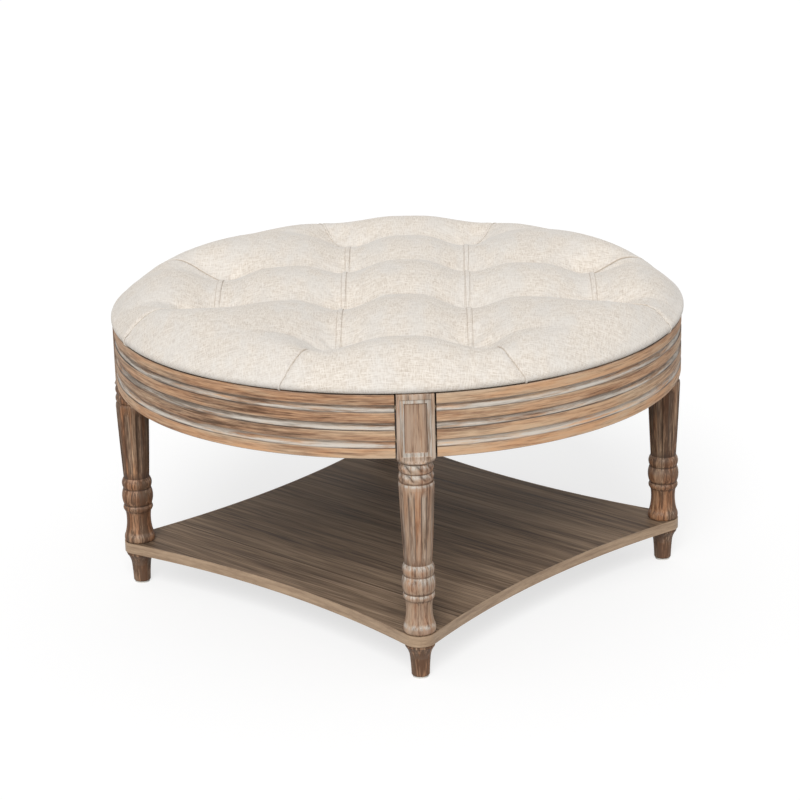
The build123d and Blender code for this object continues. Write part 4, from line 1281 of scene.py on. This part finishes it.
dustSizes = {"radius": 324.8, "thickness": 0.5, "scallops": 36, "scallopDepth": 0.6, "around": 288}


def makeDustCover():
    d = dustSizes
    upper = float(boardLow[2]) - 0.05
    lower = upper - d["thickness"]

    def ring(share, height):
        def place(turn):
            scallop = d["scallopDepth"] * (0.5 - 0.5 * np.cos(d["scallops"] * turn))
            return onCircle(share * (d["radius"] - scallop), turn, height)

        return place

    shares = (0.03, 0.25, 0.5, 0.75, 0.9, 1.0)
    places = [(d["around"], ring(share, upper), 0) for share in shares]
    places += [(d["around"], ring(share, lower), 0) for share in reversed(shares)]
    points, faces, flat = polarShell(places)
    return makeMesh("dustCover", points, faces, plain["blackDustCloth"], None, 40)


dustCover = makeDustCover()
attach(dustCover, "root")
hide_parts("dust_cover")

tieSizes = {
    "twineRadius": 1.0,
    "twist": 0.6,  # radians a millimetre
    "strandDepth": 0.15,
    "knotRadius": 4.3,
    "knotHeight": 3.0,
    "around": 16,
}


def makeTies():
    d = tieSizes
    foot, top = (float(corner[2]) for corner in nodeSpan("tuft_ties"))
    knotTop = foot + d["knotHeight"]
    heights = np.concatenate([np.linspace(foot, knotTop, 10), np.linspace(knotTop, top, 16)[1:]])
    share = np.clip((heights - foot) / d["knotHeight"], 0.08, 1)
    bulge = np.sqrt(np.maximum(np.sin(math.pi * share), 0))
    radius = d["twineRadius"] + (d["knotRadius"] - d["twineRadius"]) * bulge
    turn, up = evenTurns(d["around"]), heights[:, None]
    strands = 1 + d["strandDepth"] * np.cos(2 * (turn - d["twist"] * up))
    rings = onCircle(radius[:, None] * strands, turn, up)
    faces = ringFaces(len(heights), d["around"])
    places = [fromGrid(c * halfPitch, r * halfPitch) for c, r in tuftSteps]
    points, faces, marks = joinParts([(withPoles(rings) + [x, y, 0], faces, {}) for x, y in places])
    return makeMesh("tuftTies", points, faces, plain["waxedTwine"])


tuftTies = makeTies()
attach(tuftTies, "root")
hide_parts("tuft_ties")
print("dust cover and ties made")


# Feet

footSizes = {
    "radius": 19.6,
    "base": 2.5,  # the glide's thickness
    "around": 96,
    "startShares": (0.57, 0.0),
    "outlineShares": [
        (0.615, 0.035, 0.008), (0.69, 0.53, -0.01), (0.96, 0.87, -0.06),
        (1.0, 0.90, 0.01), (1.0, 0.98, 0.02), (0.95, 1.0, 0.0),
    ],
    "tone": -1.5,
}


def makeFoot(name, angle, seed):
    d = footSizes
    height = shelfUnderside - d["base"]
    outline, steps = turnedOutline(d["startShares"], d["outlineShares"], d["radius"], height, d["base"])
    radius, up, turn = latheGrid(outline, d["around"])
    points = onCircle(radius, turn, up)
    # painted shade line on the flare under the foot's top
    marks = carvedMarks(
        np.roll(points, 1, -1) * metresPerMm + [seed * 1.9 + 0.3, 0, 0],
        wash=np.where(np.isin(steps, (2, 3)), 0.2, 0.05)[:, None],
        line=0.35 * (steps == 3)[:, None],
        warm=0.6, tone=d["tone"], pale=0.05,
    )
    points = turnAbout(withPoles(points), angle, legCircle)
    return makeMesh(name, points, ringFaces(*radius.shape), carvedWood, marks, 35)


for seed, (corner, angle) in enumerate(corners.items()):
    foot = makeFoot("foot" + corner.capitalize(), angle, seed)
    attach(foot, "root")
    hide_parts(f"foot_{corner}")
print("feet made")


# Camera, light and floor

cameraPlace = {
    "azimuth": 42.12,
    "elevation": 17.99,
    "roll": -1.437,
    "place": (2.3367, -2.5822, 1.3908),
    "lens": 116.0,
    "shift": (-0.0006, -0.00175),
}


def makeCamera(d):
    azimuth, elevation, roll = (math.radians(d[k]) for k in ("azimuth", "elevation", "roll"))
    data = bpy.data.cameras.new("camera")
    data.lens, data.sensor_width = d["lens"], 36
    data.shift_x, data.shift_y = d["shift"]
    matrix = Matrix.Translation(d["place"])
    for angle, axis in ((azimuth, "Z"), (math.pi / 2 - elevation, "X"), (roll, "Z")):
        matrix = matrix @ Matrix.Rotation(angle, 4, axis)
    camera = addObject("camera", data)
    camera.matrix_world = matrix
    bpy.context.scene.camera = camera


makeCamera(cameraPlace)

lightLook = {
    "sky": 0.52,
    "keyStrength": 2.2,
    "keyDirection": (0.58, -0.82, 0.87),  # from the object towards the light
    "keySoftness": 30,
    "floorWhite": 0.50,
    "floorShadow": 0.17,  # how much less the floor's shadow counts where the camera sees it
    "floorGlow": 0.70,
    "floorReach": 12000,
    "floorDrop": 0.2,
}


def seenBy(tree, first, *kinds):
    # Whether a ray is of one of these kinds
    rays = put(tree, "ShaderNodeLightPath").outputs
    seen = rays[f"Is {first} Ray"]
    for kind in kinds:
        seen = calc(tree, "MAXIMUM", seen, rays[f"Is {kind} Ray"])
    return seen


def makeLight(d):
    world = bpy.data.worlds.new("studio")
    bpy.context.scene.world = world
    world.use_nodes = True
    tree = world.node_tree
    tree.nodes.clear()
    seen = seenBy(tree, "Camera", "Glossy", "Transmission")
    soft = put(tree, "ShaderNodeBackground", {"Color": (1, 1, 1, 1), "Strength": d["sky"]})
    white = put(tree, "ShaderNodeBackground", {"Color": (1, 1, 1, 1), "Strength": 1.0})
    both = put(tree, "ShaderNodeMixShader", {0: seen, 1: soft.outputs[0], 2: white.outputs[0]})
    put(tree, "ShaderNodeOutputWorld", {"Surface": both.outputs[0]})
    key = bpy.data.lights.new("key", "SUN")
    key.energy, key.angle = d["keyStrength"], math.radians(d["keySoftness"])
    lamp = addObject("key", key)
    lamp.rotation_euler = Vector(d["keyDirection"]).to_track_quat("Z", "Y").to_euler()


def makeFloor(d):
    material, tree, shader = startMaterial("paleFloor", 0.9, 0.0)
    seen = seenBy(tree, "Camera", "Glossy")
    white = calc(tree, "SUBTRACT", d["floorWhite"], calc(tree, "MULTIPLY", seen, d["floorShadow"]))
    glow = calc(tree, "MULTIPLY", seen, d["floorGlow"])
    tree.links.new(white, shader.inputs["Base Color"])
    tree.links.new(glow, shader.inputs["Emission Strength"])
    shader.inputs["Emission Color"].default_value = (1, 1, 1, 1)
    reach, down = d["floorReach"], -d["floorDrop"]
    points = [(-reach, -reach, down), (reach, -reach, down), (reach, reach, down), (-reach, reach, down)]
    floor = makeMesh("floor", points, [(0, 1, 2, 3)], material)
    floor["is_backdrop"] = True


makeLight(lightLook)
makeFloor(lightLook)
bpy.context.scene.view_settings.view_transform = "Standard"
print("camera, light and floor made")

bounds = {"cad": [list(c) for c in cadBounds], "visual": [list(c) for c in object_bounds()]}
print("visual box:", bounds["visual"])
